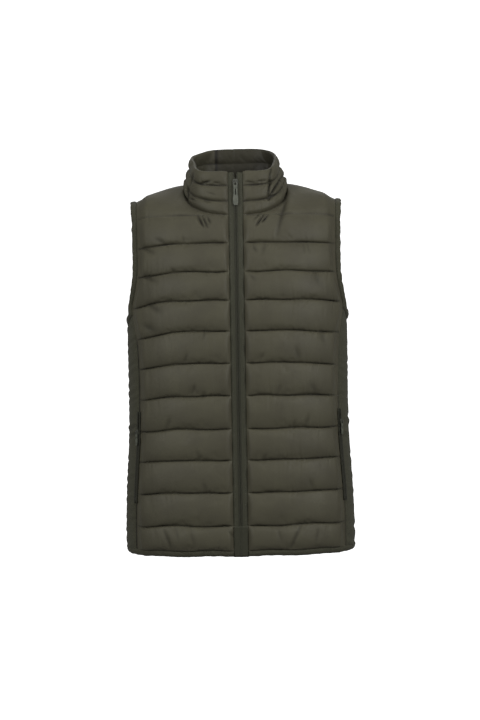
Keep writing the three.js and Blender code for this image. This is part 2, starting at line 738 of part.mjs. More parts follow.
function fromSolid(solid) {
  const mesh = solid.getMesh();
  const geometry = new THREE.BufferGeometry();
  geometry.setAttribute("position", new THREE.Float32BufferAttribute(mesh.vertProperties, 3));
  geometry.setIndex([...mesh.triVerts]);
  return geometry;
}

const flatPoints = (outline) => outline.map(([x, y]) => new THREE.Vector2(x, y));

// A face outline of [across, up] points, made solid from one height out of the zip to another.
function platePiece(outline, under, over, holes = []) {
  const shape = new THREE.Shape(flatPoints(outline));
  for (const hole of holes) shape.holes.push(new THREE.Path(flatPoints(hole)));
  const geometry = new THREE.ExtrudeGeometry(shape, { depth: over - under, bevelEnabled: false });
  return geometry.rotateX(Math.PI / 2).translate(0, -under, 0);
}

// A side outline of [up, out] points, given a width across the zip.
function bladePiece(outline, width) {
  const shape = new THREE.Shape(flatPoints(outline));
  const geometry = new THREE.ExtrudeGeometry(shape, { depth: width, bevelEnabled: false });
  const turned = new THREE.Matrix4().makeBasis(vec(0, 0, 1), vec(0, -1, 0), vec(1, 0, 0));
  return geometry.translate(0, 0, -width / 2).applyMatrix4(turned);
}

// One side of a slider's face, from its lower end to its upper one, as shares of its half sizes.
const SLIDER_SIDE = [
  [0.8, -1],
  [0.88, -0.2],
  [1, 0.45],
];
const SLIDER_SHOULDER = [
  [0.78, 0.9],
  [0.3, 1],
];

function sliderGeometry(kit) {
  const sized = ([x, z]) => [(x * kit.width) / 2, (z * kit.length) / 2];
  const opposite = ([x, z]) => [-x, z];
  const side = SLIDER_SIDE.map(sized);
  const right = [...side, ...SLIDER_SHOULDER.map(sized)];
  const over = kit.seat + kit.plate;
  const face = [...right, ...right.map(opposite).reverse()];
  let solid = toSolid(platePiece(face, kit.seat, over));
  const flange = [...side, ...side.map(([x, z]) => [x - SLIDER_FLANGE, z]).reverse()];
  for (const edge of [flange, flange.map(opposite)])
    solid = solid.add(toSolid(platePiece(edge, kit.tape, over - 0.1)));
  const { length, eye, eyeHeight, roof, width } = kit.bridge;
  const root = over - 0.3;
  const arch = [
    [-length / 2, root],
    [-eye / 2, root],
    [-eye / 2, over + eyeHeight],
    [eye / 2, over + eyeHeight],
    [eye / 2, root],
    [length / 2, root],
    [length / 2, over + eyeHeight + 0.2],
    [length / 2 - 1, over + eyeHeight + roof],
    [1 - length / 2, over + eyeHeight + roof],
    [-length / 2, over + eyeHeight + 0.2],
  ];
  return fromSolid(solid.add(toSolid(bladePiece(arch, width))));
}

// The pull tab, hanging from its bar, which lies on the tab's own X axis.
function pullGeometry(kit) {
  const { thick, bar, half, ring, bulge, length } = kit.pull;
  const { slot } = kit;
  const widest = slot.to + 0.25 * (length - slot.to);
  const right = [
    [half - 0.8, bar + 0.2],
    [half, bar - 0.6],
    [half, -slot.to + 2],
    [bulge, -widest],
    [bulge, -length + 6],
    [0.62 * bulge, -length],
  ];
  const outline = [...right.map(([x, z]) => [-x, z]), ...right.reverse()];
  const opening = kit.bridge.width / 2 + EYE_CLEARANCE;
  const holes = [
    rectangle(opening, -bar, -ring),
    rectangle(slot.half, -slot.from, -slot.to),
  ];
  return platePiece(outline, -thick / 2, thick / 2, holes);
}

const rectangle = (half, top, bottom) => [
  [-half, top],
  [half, top],
  [half, bottom],
  [-half, bottom],
];

// Pocket zips

// A station on the side seam at a pocket.
function pocketStation(z, side) {
  const angle = frontEdge(z);
  const out = bodyNormal(angle, z);
  const station = { point: bodyPoint(angle, z), across: vec(-out.y, out.x, 0).normalize(), out };
  return side === "left" ? station : mirroredStation(station);
}

function pocketStations(from, to, side) {
  const steps = Math.max(1, Math.round((to - from) / POCKET_STEP));
  const stations = [];
  for (let k = 0; k <= steps; k++)
    stations.push(pocketStation(THREE.MathUtils.lerp(from, to, k / steps), side));
  return stations;
}

function pocketTapeGeometry(side) {
  const { tapeUnder, tapeOver } = POCKET_LAYERS;
  const strip = sweepGeometry(
    pocketStations(POCKET.bottom, POCKET.top, side),
    blockSection(-POCKET.half, POCKET.half, tapeUnder, tapeOver),
    false,
  );
  const slit = sweepGeometry(
    pocketStations(POCKET_SLIDER[side], POCKET.top - POCKET_END, side),
    blockSection(-POCKET.slitHalf, POCKET.slitHalf, tapeUnder - 1, tapeOver + 1),
    false,
  );
  return fromSolid(toSolid(strip).subtract(toSolid(slit)));
}

function pocketChainGeometry(side) {
  const { chainUnder, chainOver } = POCKET_LAYERS;
  return sweepGeometry(
    pocketStations(POCKET.bottom + POCKET_END, POCKET_SLIDER[side] + 1, side),
    blockSection(-POCKET.chainHalf, POCKET.chainHalf, chainUnder, chainOver),
    false,
  );
}

// Assembly

const vest = new THREE.Group();

const OLIVE = {
  shell: new THREE.Color(0.062, 0.058, 0.04),
  stretch: new THREE.Color(0.05, 0.052, 0.04),
  trim: new THREE.Color(0.036, 0.037, 0.027),
  pull: new THREE.Color(0.09, 0.095, 0.07),
};

function addPiece(name, geometry, color, roughness, parent = vest) {
  const material = new THREE.MeshStandardMaterial({ color, roughness, metalness: 0 });
  const mesh = new THREE.Mesh(geometry, material);
  mesh.name = name;
  parent.add(mesh);
  return mesh;
}

// A slider with its pull tab, at a point of the zip, facing out and running up the given way.
function addHardware(prefix, kit, point, out, up) {
  const place = new THREE.Group();
  const across = up.clone().cross(out).normalize();
  place.setRotationFromMatrix(new THREE.Matrix4().makeBasis(across, out.clone().negate(), up));
  place.position.copy(point);
  vest.add(place);
  addPiece(prefix + "_slider", sliderGeometry(kit), OLIVE.trim, 0.4, place);
  const pull = addPiece(prefix + "_pull", pullGeometry(kit), OLIVE.pull, 0.5, place);
  pull.position.set(0, -hingeHeight(kit), 0);
}

const frontLeft = frontGrid("left");
const frontRight = frontGrid("right");
const back = backGrid();
const sideLeft = sideGrid(frontLeft, back);
const sideRight = sideGrid(frontRight, back);
const armholeLeft = armholeStations(frontLeft, back, sideLeft);
const armholeRight = armholeStations(frontRight, back, sideRight).map(mirroredStation);
const collar = collarGrid();
const hem = hemStations(frontLeft, sideLeft, back, mirrorGrid(frontRight), mirrorGrid(sideRight));

const HALF_GAP = 0.2; // a little over half of SEAM_GAP, for seams that meet at an angle
for (const grid of [frontLeft, frontRight, back, sideLeft, sideRight]) insetEdges(grid, HALF_GAP);
liftFoot(collar, COLLAR_LIFT);
for (const row of collar) {
  row[0].point.x += SEAM_GAP / 2;
  row.at(-1).point.x -= SEAM_GAP / 2;
}

addPiece("front_left", wallGeometry(frontLeft), OLIVE.shell, 0.55);
addPiece("front_right", wallGeometry(mirrorGrid(frontRight)), OLIVE.shell, 0.55);
addPiece("back", wallGeometry(back), OLIVE.shell, 0.55);
addPiece("side_left", wallGeometry(sideLeft), OLIVE.stretch, 0.8);
addPiece("side_right", wallGeometry(mirrorGrid(sideRight)), OLIVE.stretch, 0.8);
addPiece("collar", wallGeometry(collar), OLIVE.shell, 0.55);
addPiece("armhole_binding_left", sweepGeometry(armholeLeft, ARMHOLE_BINDING, true), OLIVE.trim, 0.85);
addPiece("armhole_binding_right", sweepGeometry(armholeRight, ARMHOLE_BINDING, true), OLIVE.trim, 0.85);
addPiece("hem_binding", sweepGeometry(hem, HEM_BINDING, false), OLIVE.trim, 0.85);

for (const [side, sign] of [["left", 1], ["right", -1]]) {
  addPiece("zip_tape_" + side, tapeGeometry(sign), OLIVE.trim, 0.85);
  addPiece("zip_chain_end_" + side, chainEndGeometry(sign), OLIVE.trim, 0.5);
  addPiece("zip_end_" + side, zipEndGeometry(sign), OLIVE.trim, 0.7);
  addPiece("pocket_tape_" + side, pocketTapeGeometry(side), OLIVE.trim, 0.85);
  addPiece("pocket_chain_" + side, pocketChainGeometry(side), OLIVE.trim, 0.5);
  const { point, across, out } = pocketStation(POCKET_SLIDER[side] - 1, side);
  const rise = out.clone().cross(across).normalize();
  if (rise.z < 0) rise.negate();
  addHardware("pocket_" + side, POCKET_HARDWARE, point, out, rise);
}
addPiece("zip_chain", chainGeometry(), OLIVE.trim, 0.5);
addPiece("zip_box", zipBoxGeometry(), OLIVE.trim, 0.5);

const opening = CENTRE[ZIP_OPENING];
const zipRise = vec(0, opening.out.z, -opening.out.y);
const toSlider = 3 - FRONT_HARDWARE.length / 2; // the slider's middle from where the chain parts
const sliderPoint = opening.point.clone().addScaledVector(zipRise, toSlider);
addHardware("front", FRONT_HARDWARE, sliderPoint, opening.out, zipRise);

export default vest;
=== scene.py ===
"""Dresses a man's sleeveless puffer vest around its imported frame.

The tables and functions below work in millimetres in the vest's own frame: +Z is up, the front
faces -Y and the wearer's left is +X. Meshes are written in metres.
"""
import math

import bmesh
import bpy
import numpy as np
from mathutils import Matrix, Vector


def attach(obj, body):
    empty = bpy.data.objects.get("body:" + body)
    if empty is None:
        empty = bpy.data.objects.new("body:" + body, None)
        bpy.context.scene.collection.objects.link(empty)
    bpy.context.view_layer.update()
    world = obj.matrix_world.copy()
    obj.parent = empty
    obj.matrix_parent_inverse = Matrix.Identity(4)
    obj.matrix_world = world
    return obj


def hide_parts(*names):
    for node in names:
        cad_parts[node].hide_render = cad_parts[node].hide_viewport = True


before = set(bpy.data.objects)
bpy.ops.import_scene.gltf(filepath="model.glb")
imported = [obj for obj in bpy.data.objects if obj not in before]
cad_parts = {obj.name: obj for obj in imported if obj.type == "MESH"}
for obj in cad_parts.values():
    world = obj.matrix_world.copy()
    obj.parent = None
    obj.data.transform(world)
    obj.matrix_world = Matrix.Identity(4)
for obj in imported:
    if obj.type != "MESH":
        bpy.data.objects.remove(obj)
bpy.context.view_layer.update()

MM = 0.001
GARMENT = "garment"

# The vest's cut, as in its solids

WALL_AT_SEAM = 3
PUFF = 8.2
YOKE_PUFF = 7
YOKE_FULL = 75
YOKE_LINE_LIFT = 3.5 # the yoke's own line is drawn in less than the others
COLLAR_PUFF = 4.6

HEM_TOP = -657.8
HEM_BOTTOM = -668.5
QUILT_LINES = [-613, -554, -496, -440, -381, -323, -266, -211, -160, -108, -57]
YOKE_LINE = QUILT_LINES[-1]
CHANNELS = len(QUILT_LINES)
UNDERARM_CHANNEL = 8
UNDERARM_DIP = 21

NECK_HALF_WIDTH = 92
NECK_POWER = 0.75
NECK_RISE = 8
NECK_FRONT = {"depth": 89, "drop": 63}
NECK_BACK = {"depth": 76, "drop": 4}
MITRE_REACH = 14
YOKE_BOW_FRONT = (0.18, 0.8)
YOKE_BOW_BACK = (0.78, 0.84)
SHOULDER_TIP = np.array([184.0, 2.0, -22.0])
SHOULDER_FALL = 1.5
NECK_SHARE = 0.66

ZIP_EDGE = 13.3
ZIP_STOP = -611
ZIP_CHAIN_TOP = 0.8

POCKET_BOTTOM = -574
POCKET_TOP = -408
POCKET_SLIDER = {"left": -430, "right": -444}

SECTION_POWER = 2 / 2.6
SECTIONS = {
    "z": [-680, -655, -562, -455, -395, -255, -180, -108, -57],
    "half": [206, 207.5, 206, 200, 199, 199.5, 198, 196, 193],
    "front": [125, 127, 130, 131, 133, 135, 130, 112, 93],
    "back": [113, 114, 108, 101, 103, 117, 123, 121, 110],
}
EDGE_DEGREES = {
    "z": [-680, -560, -450, -325, -285, -250, -222, -195, -160, -108, -57],
    "front": [62, 62, 61, 60.5, 62, 66, 70, 65.5, 61.5, 62.5, 66],
    "back": [69, 70, 70, 69, 69, 71, 73, 68, 64, 63.5, 66],
}
SAG = {
    "z": [-658, -613, -440, -323, -266, -211, -160, -108, -57],
    "left": [0, 0, 0, 5, 4, 2, 0, 0, 0],
    "right": [0, 3, 5, 9, 12, 10, 6, 5, 0],
}
SAG_FROM = 0.5
COLLAR_TOP = {
    "right": {
        "turn": [0.0225, 0.21, 0.29, 0.45, 0.62, 0.7, 0.74, 0.78, 1],
        "x": [ZIP_EDGE, 56, 67, 73, 75, 54, 42, 32, 0],
        "y": [-75, -73, -60, -22, 26, 53, 64, 67, 69],
    },
    "left": {
        "turn": [0.0225, 0.2, 0.25, 0.43, 0.6, 0.7, 0.75, 1],
        "x": [ZIP_EDGE, 52, 60, 70, 71, 59, 47, 0],
        "y": [-75, -72, -63, -19, 29, 57, 66, 70],
    },
}
COLLAR_TOP_MIDDLE = 54.5
COLLAR_TOP_SLOPE = 0.41
COLLAR_LINES = [0, 0.31, 0.68, 1]
COLLAR_BOW = 0.5

# How the puff fades toward a panel's borders: where it starts, and how soon it is full

ZIP_TAPER = (0, 9)
SIDE_TAPER = (6, 20)
NECK_TAPER = (3, 16)
COLLAR_ZIP_TAPER = (0, 8)
ZIP_TAPER_POWER = 0.6

WAVER = 0.5 # how far the quilting lines stray from level
WAVER_LENGTHS = (90, 220)
PANEL_WIDTH = 190 # near enough, from the centre to the side
COLLAR_LINING_PUFF = 2.4
LINING_PUFF = 0.22 # of the outside's puff

# How finely the cloth is divided

CHANNEL_STEPS = 10
CHANNEL_CROWDING = 0.66 # 0 spaces the rows evenly, 1 puts them all by the seams
YOKE_STEPS = 14
NECK_STEPS = 24
TIP_STEPS = 12
SIDE_STEPS = 24
COLLAR_STEPS = 6
UNDERARM_ROW = (UNDERARM_CHANNEL - 1) * CHANNEL_STEPS + 7 # 0.8 up the channel
REFINED = 4 # outer sheets have this many rows for each one that is simulated

# The cloth simulation

SIM_FRAMES = 16
SIM_REACH = 7 # no point moves further than this
SIM_SETTINGS = {
    "quality": 6,
    "mass": 0.15,
    "air_damping": 4,
    "tension_stiffness": 20,
    "compression_stiffness": 20,
    "shear_stiffness": 8,
    "bending_stiffness": 0.05,
    "use_pressure": True,
    "uniform_pressure_force": 2.0,
    "shrink_min": -0.004,
    "vertex_group_mass": "pins",
}
# How much of what the simulation moves is kept
CHANNEL_SIM_SHARE = 0.6
YOKE_SIM_SHARE = 0.3
COLLAR_SIM_SHARE = 0.5


# Small tools

def smooth(t):
    t = np.clip(t, 0, 1)
    return t * t * (3 - 2 * t)


def ramp(distance, start, width):
    return smooth((distance - start) / width)


def unit(v):
    return v / np.maximum(np.linalg.norm(v, axis=-1, keepdims=True), 1e-9)


def mixed(a, b, share):
    return a * (1 - share) + b * share


def along(table, column, at):
    """A smooth curve through one column of a table against its first column, which rises."""
    key = np.array(next(iter(table.values())), float)
    value = np.array(table[column], float)
    secant = np.diff(value) / np.diff(key)
    slope = np.concatenate([secant[:1], (secant[:-1] + secant[1:]) / 2, secant[-1:]])
    at = np.clip(at, key[0], key[-1])
    i = np.clip(np.searchsorted(key, at, side="right") - 1, 0, len(secant) - 1)
    width = key[i + 1] - key[i]
    t = (at - key[i]) / width
    rise = smooth(t)
    bend = slope[i] * t * (1 - t) ** 2 - slope[i + 1] * t * t * (1 - t)
    return value[i] * (1 - rise) + value[i + 1] * rise + width * bend


def wander(seed, shortest, longest, waves=5):
    """An irregular wave along a length: a sum of sines with seeded lengths and phases."""
    draw = np.random.default_rng(seed)
    length = draw.uniform(shortest, longest, waves)
    phase = draw.uniform(0, 2 * math.pi, waves)
    weight = draw.uniform(0.5, 1, waves)
    weight /= np.sqrt((weight ** 2).sum() / 2)
    return lambda s: sum(w * np.sin(2 * math.pi * s / l + p) for w, l, p in zip(weight, length, phase))


def as_is(points):
    return points


def mirrored(points):
    return points * np.array([-1, 1, 1])


SIDES = {"left": as_is, "right": mirrored}


def lengths(points, axis=0):
    """How far along a line, or each line of a grid, its points lie."""
    pieces = np.linalg.norm(np.diff(points, axis=axis), axis=-1)
    start = np.zeros_like(np.take(pieces, [0], axis))
    return np.concatenate([start, np.cumsum(pieces, axis)], axis)


def sampled(values, run, at):
    """Points or ways that are given along a run, at other places on it."""
    return np.stack([np.interp(at, run, values[:, i]) for i in range(3)], -1)


# The body's inner surface

def body_point(angle, z):
    """A point of the level section at z. The angle is 0 at the front and pi at the back."""
    sine, cosine = np.sin(angle), np.cos(angle)
    depth = np.where(cosine > 0, along(SECTIONS, "front", z), along(SECTIONS, "back", z))
    x = along(SECTIONS, "half", z) * np.sign(sine) * np.abs(sine) ** SECTION_POWER
    y = -depth * np.sign(cosine) * np.abs(cosine) ** SECTION_POWER
    return np.stack(np.broadcast_arrays(x, y, z), -1)


def body_normal(angle, z):
    round_ = body_point(angle + 0.01, z) - body_point(angle - 0.01, z)
    rise = body_point(angle, z + 2) - body_point(angle, z - 2)
    return unit(np.cross(round_, rise))


def angle_along(start, end, share, z):
    """The angle at a share of the arc's length between two angles of the section at z."""
    start, end, share, z = np.broadcast_arrays(start, end, share, z)
    steps = np.linspace(0, 1, 49)
    angles = start[..., None] + (end - start)[..., None] * steps
    pieces = np.linalg.norm(np.diff(body_point(angles, z[..., None]), axis=-2), axis=-1)
    length = np.concatenate([np.zeros((*pieces.shape[:-1], 1)), np.cumsum(pieces, -1)], -1)
    wanted = share * length[..., -1]
    i = np.clip((length < wanted[..., None]).sum(-1), 1, len(steps) - 1)
    low = np.take_along_axis(length, (i - 1)[..., None], -1)[..., 0]
    high = np.take_along_axis(length, i[..., None], -1)[..., 0]
    part = (wanted - low) / (high - low)
    return start + (end - start) * (i - 1 + part) / (len(steps) - 1)


def zip_angle(z):
    return np.arcsin((ZIP_EDGE / along(SECTIONS, "half", z)) ** (1 / SECTION_POWER))


def front_edge(z):
    return np.radians(along(EDGE_DEGREES, "front", z))


def back_edge(z):
    return math.pi - np.radians(along(EDGE_DEGREES, "back", z))


# The neck and the shoulder seam, on the wearer's left

NECK_TURN_AT_ZIP = math.asin((ZIP_EDGE / NECK_HALF_WIDTH) ** (1 / NECK_POWER))


def neck_point(turn):
    turn = np.asarray(turn, float)
    x = NECK_HALF_WIDTH * np.abs(np.sin(turn)) ** NECK_POWER
    reach = np.abs(np.cos(turn)) ** NECK_POWER
    in_front = turn < math.pi / 2
    y = np.where(in_front, -NECK_FRONT["depth"], NECK_BACK["depth"]) * reach
    z = NECK_RISE - np.where(in_front, NECK_FRONT["drop"], NECK_BACK["drop"]) * reach
    return np.stack([x, y, z], -1)


def neck_mitre(turn):
    """The way across the cloth's edge at the neck seam, halfway between panel and collar."""
    turn = np.asarray(turn, float)
    round_ = neck_point(np.minimum(turn + 0.04, math.pi)) - neck_point(np.maximum(turn - 0.04, 0))
    level = unit(np.cross(round_, [0, 0, 1]))
    at_side = np.sin(turn) ** 2
    level[..., 2] = np.where(turn < math.pi / 2, 0.3 + 0.6 * at_side, 0.45 + 0.45 * at_side)
    return unit(level)


def neck_turns(is_front):
    """The neck seam's turn at each column of a panel that ends on the neck."""
    start = NECK_TURN_AT_ZIP if is_front else math.pi
    return np.linspace(start, math.pi / 2, NECK_STEPS + 1)


def shoulder_point(share):
    point = mixed(neck_point(math.pi / 2), SHOULDER_TIP, np.asarray(share)[..., None])
    point[..., 2] = mixed(NECK_RISE, SHOULDER_TIP[2], np.asarray(share) ** SHOULDER_FALL)
    return point


SHOULDER_NORMAL = unit(np.array([NECK_RISE - SHOULDER_TIP[2], 0, SHOULDER_TIP[0] - NECK_HALF_WIDTH]))
COLUMN_SHARES = np.concatenate([
    np.linspace(0, NECK_SHARE, NECK_STEPS + 1),
    np.linspace(NECK_SHARE, 1, TIP_STEPS + 1)[1:],
])


def top_edge(is_front):
    """Each column's top point on the neck or shoulder seam, and the way across the edge there."""
    turns = neck_turns(is_front)
    shoulder = shoulder_point(np.linspace(0, 1, TIP_STEPS + 1)[1:])
    across = np.broadcast_to(SHOULDER_NORMAL, shoulder.shape)
    return np.concatenate([neck_point(turns), shoulder]), np.concatenate([neck_mitre(turns), across])


# Quilted panels

def puffed(local):
    """A channel's section from its lower quilting line to its upper one, fullest low down."""
    return np.sin(math.pi * np.clip(local, 0, 1) ** 0.9) ** 0.44


def yoked(local):
    """The yoke's section, from the top quilting line to the neck or shoulder seam."""
    return np.sin(math.pi * np.clip(local, 0, 1) ** 0.8) ** 0.5


def panel_rows():
    """The level, place in the yoke and place in the channel of each of a panel's rows."""
    levels = [HEM_TOP, *QUILT_LINES]
    even = np.arange(CHANNEL_STEPS) / CHANNEL_STEPS
    local = even - CHANNEL_CROWDING * np.sin(2 * math.pi * even) / (2 * math.pi)
    z = np.concatenate([a + (b - a) * local for a, b in zip(levels, levels[1:])])
    yoke = np.linspace(0, 1, YOKE_STEPS + 1)
    z = np.concatenate([z, np.full(YOKE_STEPS + 1, YOKE_LINE)])
    place = np.concatenate([np.tile(local, CHANNELS), yoke])
    return z, np.concatenate([np.zeros(CHANNELS * CHANNEL_STEPS), yoke]), place


QUILT_ROWS = [k * CHANNEL_STEPS for k in range(CHANNELS + 1)]
PANEL_BREAKS = [*QUILT_ROWS, CHANNELS * CHANNEL_STEPS + YOKE_STEPS]


def grid_normals(points, flip=False):
    across = np.gradient(points, axis=1)
    up = np.gradient(points, axis=0)
    normal = unit(np.cross(across, up))
    return -normal if flip else normal


def half_panel(is_front, side):
    """A front, or the left half of the back: its inner points, ways out and full thickness."""
    z, yoke, place = panel_rows()
    in_yoke = yoke[:, None] > 0
    share = COLUMN_SHARES[None, :]
    waver = wander(3 if is_front else 4, *WAVER_LENGTHS)(share * PANEL_WIDTH + z[:, None] * 3)
    level = z[:, None] + WAVER * waver * smooth(share * 8) * smooth((1 - share) * 8)
    if is_front:
        level = level - along(SAG, side, level) * ramp(share, SAG_FROM, 1 - SAG_FROM)
        angle = angle_along(zip_angle(level), front_edge(level), share, level)
    else:
        angle = angle_along(math.pi, back_edge(level), share, level)
    low = body_point(angle, level)
    top, across = top_edge(is_front)
    lean = (low - body_point(angle, level - 10)) / 10
    at_neck, at_tip = YOKE_BOW_FRONT if is_front else YOKE_BOW_BACK
    bow = mixed(at_neck, at_tip, ramp(share, NECK_SHARE, 1 - NECK_SHARE))
    bend = low + lean * ((top[None, :, 2] - low[..., 2]) * bow)[..., None]
    bend[..., 0] = (low[..., 0] + top[None, :, 0]) / 2
    t = yoke[:, None, None]
    points = (1 - t) ** 2 * low + 2 * t * (1 - t) * bend + t * t * top
    out = grid_normals(points, flip=not is_front)
    if not is_front:
        out[:, 0, 0] = 0
    to_top = np.linalg.norm(points - top, axis=-1)
    on_neck = in_yoke & (share <= NECK_SHARE)
    nearness = (1 - smooth(to_top / MITRE_REACH)) * on_neck
    out = unit(mixed(out, across[None], nearness[..., None]))
    out[-1] = across
    if is_front:
        out[:, 0, 0] = 0
    room = np.where(in_yoke, smooth(np.linalg.norm(low - top, axis=-1) / YOKE_FULL), 1)
    to_centre = lengths(points, 1)
    near_zip = ramp(to_centre, *ZIP_TAPER) ** ZIP_TAPER_POWER if is_front else 1
    taper = near_zip * ramp(to_centre[:, -1:] - to_centre, *SIDE_TAPER)
    taper = taper * np.where(on_neck, ramp(to_top, *NECK_TAPER), 1)
    crown = np.where(yoke > 0, YOKE_PUFF * yoked(place), PUFF * puffed(place))[:, None]
    crown[CHANNELS * CHANNEL_STEPS] = YOKE_LINE_LIFT
    return points, unit(out), crown * taper * room


def whole_back():
    points, out, puff = half_panel(False, None)

    def joined(grid, turn):
        return np.concatenate([turn(grid[:, :0:-1]), grid], axis=1)

    return joined(points, mirrored), joined(out, mirrored), joined(puff, as_is)


# The collar, whose cloth goes up its outside, over the top and down its inside

def collar_column(side, turn, heights):
    """Points up the collar's middle surface at each neck turn."""
    foot = neck_point(turn)
    share = turn / math.pi
    x = along(COLLAR_TOP[side], "x", share)
    y = along(COLLAR_TOP[side], "y", share)
    top = np.stack([x, y, COLLAR_TOP_MIDDLE + COLLAR_TOP_SLOPE * y], -1)
    outward = np.stack([np.sin(turn), -np.cos(turn), np.zeros_like(turn)], -1)
    h = heights[:, None, None]
    bow = COLLAR_BOW * np.sin(math.pi * h) * smooth((turn - NECK_TURN_AT_ZIP) / 0.2)[None, :, None]
    return mixed(foot[None], top[None], h) + outward[None] * bow


def collar_heights():
    pieces = [np.linspace(a, b, COLLAR_STEPS + 1)[:-1] for a, b in zip(COLLAR_LINES, COLLAR_LINES[1:])]
    return np.concatenate([*pieces, [1.0]]), np.append(np.tile(np.arange(COLLAR_STEPS) / COLLAR_STEPS, 3), 1)


def collar_middle():
    heights, place = collar_heights()
    turns = np.concatenate([neck_turns(True), neck_turns(False)[-2::-1]])
    left = collar_column("left", turns, heights)
    right = mirrored(collar_column("right", turns, heights))
    points = np.concatenate([left, right[:, -2::-1]], axis=1)
    out = grid_normals(points)
    foot = np.concatenate([neck_mitre(turns), mirrored(neck_mitre(turns))[-2::-1]])
    distance = np.linalg.norm(points - points[:1], axis=-1)
    out = unit(mixed(out, foot[None], (1 - smooth(distance / MITRE_REACH))[..., None]))
    out[:, [0, -1], 0] = 0
    return points, unit(out), heights, place


COLLAR_LINE_ROWS = [0, COLLAR_STEPS, 2 * COLLAR_STEPS]
TOP_CHANNEL_SHARE = 0.86 # of its section, as the collar's fold cuts it short
TOP_FOLD_ROWS = 3
TOP_FOLD_RISE = 0.8


def collar_cloth():
    """One sheet from the collar's foot outside, over the top, to its foot inside."""
    points, out, heights, place = collar_middle()
    to_zip = lengths(points, 1)
    to_zip = np.minimum(to_zip, to_zip[:, -1:] - to_zip)
    taper = ramp(to_zip, *COLLAR_ZIP_TAPER) ** ZIP_TAPER_POWER
    top_channel = (heights >= COLLAR_LINES[2])[:, None]
    cut_short = np.sin(math.pi * TOP_CHANNEL_SHARE * place[:, None]) ** 0.6
    section = np.where(top_channel, cut_short, puffed(place)[:, None])
    outside = points + out * (WALL_AT_SEAM + COLLAR_PUFF * section * taper)[..., None]
    inside = points - out * (COLLAR_LINING_PUFF * section * taper)[..., None]
    middle = (outside[-1] + inside[-1]) / 2
    half = (outside[-1] - inside[-1]) / 2
    rise = np.array([0, 0, 1]) * np.linalg.norm(half, axis=-1, keepdims=True) * TOP_FOLD_RISE
    turns = math.pi * np.arange(1, TOP_FOLD_ROWS + 1) / (TOP_FOLD_ROWS + 1)
    fold = [middle + half * math.cos(turn) + rise * math.sin(turn) for turn in turns]
    return np.concatenate([outside, fold, inside[::-1]])


# Blender's cloth simulation

def grid_faces(rows, columns, first=0):
    i = np.arange(rows * columns).reshape(rows, columns) + first
    return np.stack([i[:-1, :-1], i[:-1, 1:], i[1:, 1:], i[1:, :-1]], -1).reshape(-1, 4)


def new_mesh(name, points, faces, uv=None):
    """A mesh from points in millimetres and quads or triangles."""
    mesh = bpy.data.meshes.new(name)
    faces = [list(map(int, f)) for f in faces]
    mesh.from_pydata((np.asarray(points).reshape(-1, 3) * MM).tolist(), [], faces)
    if uv is not None:
        layer = mesh.uv_layers.new(name="UVMap")
        index = np.empty(len(mesh.loops), int)
        mesh.loops.foreach_get("vertex_index", index)
        layer.data.foreach_set("uv", (np.asarray(uv).reshape(-1, 2)[index] * MM).ravel())
    mesh.update()
    return mesh


def new_object(name, mesh):
    obj = bpy.data.objects.new(name, mesh)
    bpy.context.scene.collection.objects.link(obj)
    return obj


def inflated(sheets):
    """Blows each sheet out between its pinned points, as Blender's cloth, and gives the points back."""
    scene = bpy.context.scene
    objects = {}
    for name, (points, pinned, flip) in sheets.items():
        faces = grid_faces(*points.shape[:2])
        mesh = new_mesh("sim_" + name, points, faces[:, ::-1] if flip else faces)
        obj = new_object("sim_" + name, mesh)
        pins = obj.vertex_groups.new(name="pins")
        pins.add([int(i) for i in np.nonzero(pinned.ravel())[0]], 1.0, "REPLACE")
        cloth = obj.modifiers.new("Cloth", "CLOTH")
        cloth.point_cache.frame_start = 1
        cloth.point_cache.frame_end = SIM_FRAMES
        for setting, value in SIM_SETTINGS.items():
            setattr(cloth.settings, setting, value)
        cloth.settings.effector_weights.gravity = 0
        cloth.collision_settings.use_collision = False
        objects[name] = obj
    for number in range(1, SIM_FRAMES + 1):
        scene.frame_set(number)
    depsgraph = bpy.context.evaluated_depsgraph_get()
    settled = {}
    for name, obj in objects.items():
        start = sheets[name][0]
        flat = np.empty(start.size)
        obj.evaluated_get(depsgraph).data.vertices.foreach_get("co", flat)
        moved = flat.reshape(start.shape) / MM - start
        distance = np.linalg.norm(moved, axis=-1, keepdims=True)
        settled[name] = start + moved * np.minimum(1, SIM_REACH / np.maximum(distance, 1e-6))
        mesh = obj.data
        bpy.data.objects.remove(obj)
        bpy.data.meshes.remove(mesh)
    scene.frame_set(1)
    return settled


# Finer cloth

def refined(grid, breaks, axis):
    """Doubles a grid along an axis with a smooth curve, which may break at the given lines."""
    lines = np.moveaxis(grid, axis, 0)
    parts = []
    for a, b in zip(breaks[:-1], breaks[1:]):
        q = lines[a:b + 1]
        before = 3 * q[0] - 3 * q[1] + q[2]
        after = 3 * q[-1] - 3 * q[-2] + q[-3]
        ext = np.concatenate([before[None], q, after[None]])
        fine = np.empty((2 * len(q) - 1, *q.shape[1:]))
        fine[0::2] = q
        fine[1::2] = (9 * (ext[1:-2] + ext[2:-1]) - ext[:-3] - ext[3:]) / 16
        parts.append(fine[:-1])
    parts.append(lines[breaks[-1]][None])
    return np.moveaxis(np.concatenate(parts), 0, axis)


def refined_sheet(grid, row_breaks, columns=REFINED):
    """A grid with REFINED times its rows and some times its columns."""
    times = 1
    while times < REFINED:
        grid = refined(grid, [times * b for b in row_breaks], 0)
        times *= 2
    times = 1
    while times < columns:
        grid = refined(grid, [0, grid.shape[1] - 1], 1)
        times *= 2
    return grid


PUCKER_DEPTH = 0.16
PUCKER_REACH = 5
PUCKER_LENGTHS = (6.5, 15)
PUCKER_GROUPS = (35, 110)
DIMPLE_DEPTH = 0.3
DIMPLE_REACH = 12
DIMPLE_LENGTHS = (18, 60)


def swell(distance, reach):
    """Rises from 0 to 1 at the reach and fades away past it."""
    return distance / reach * np.exp(1 - distance / reach)


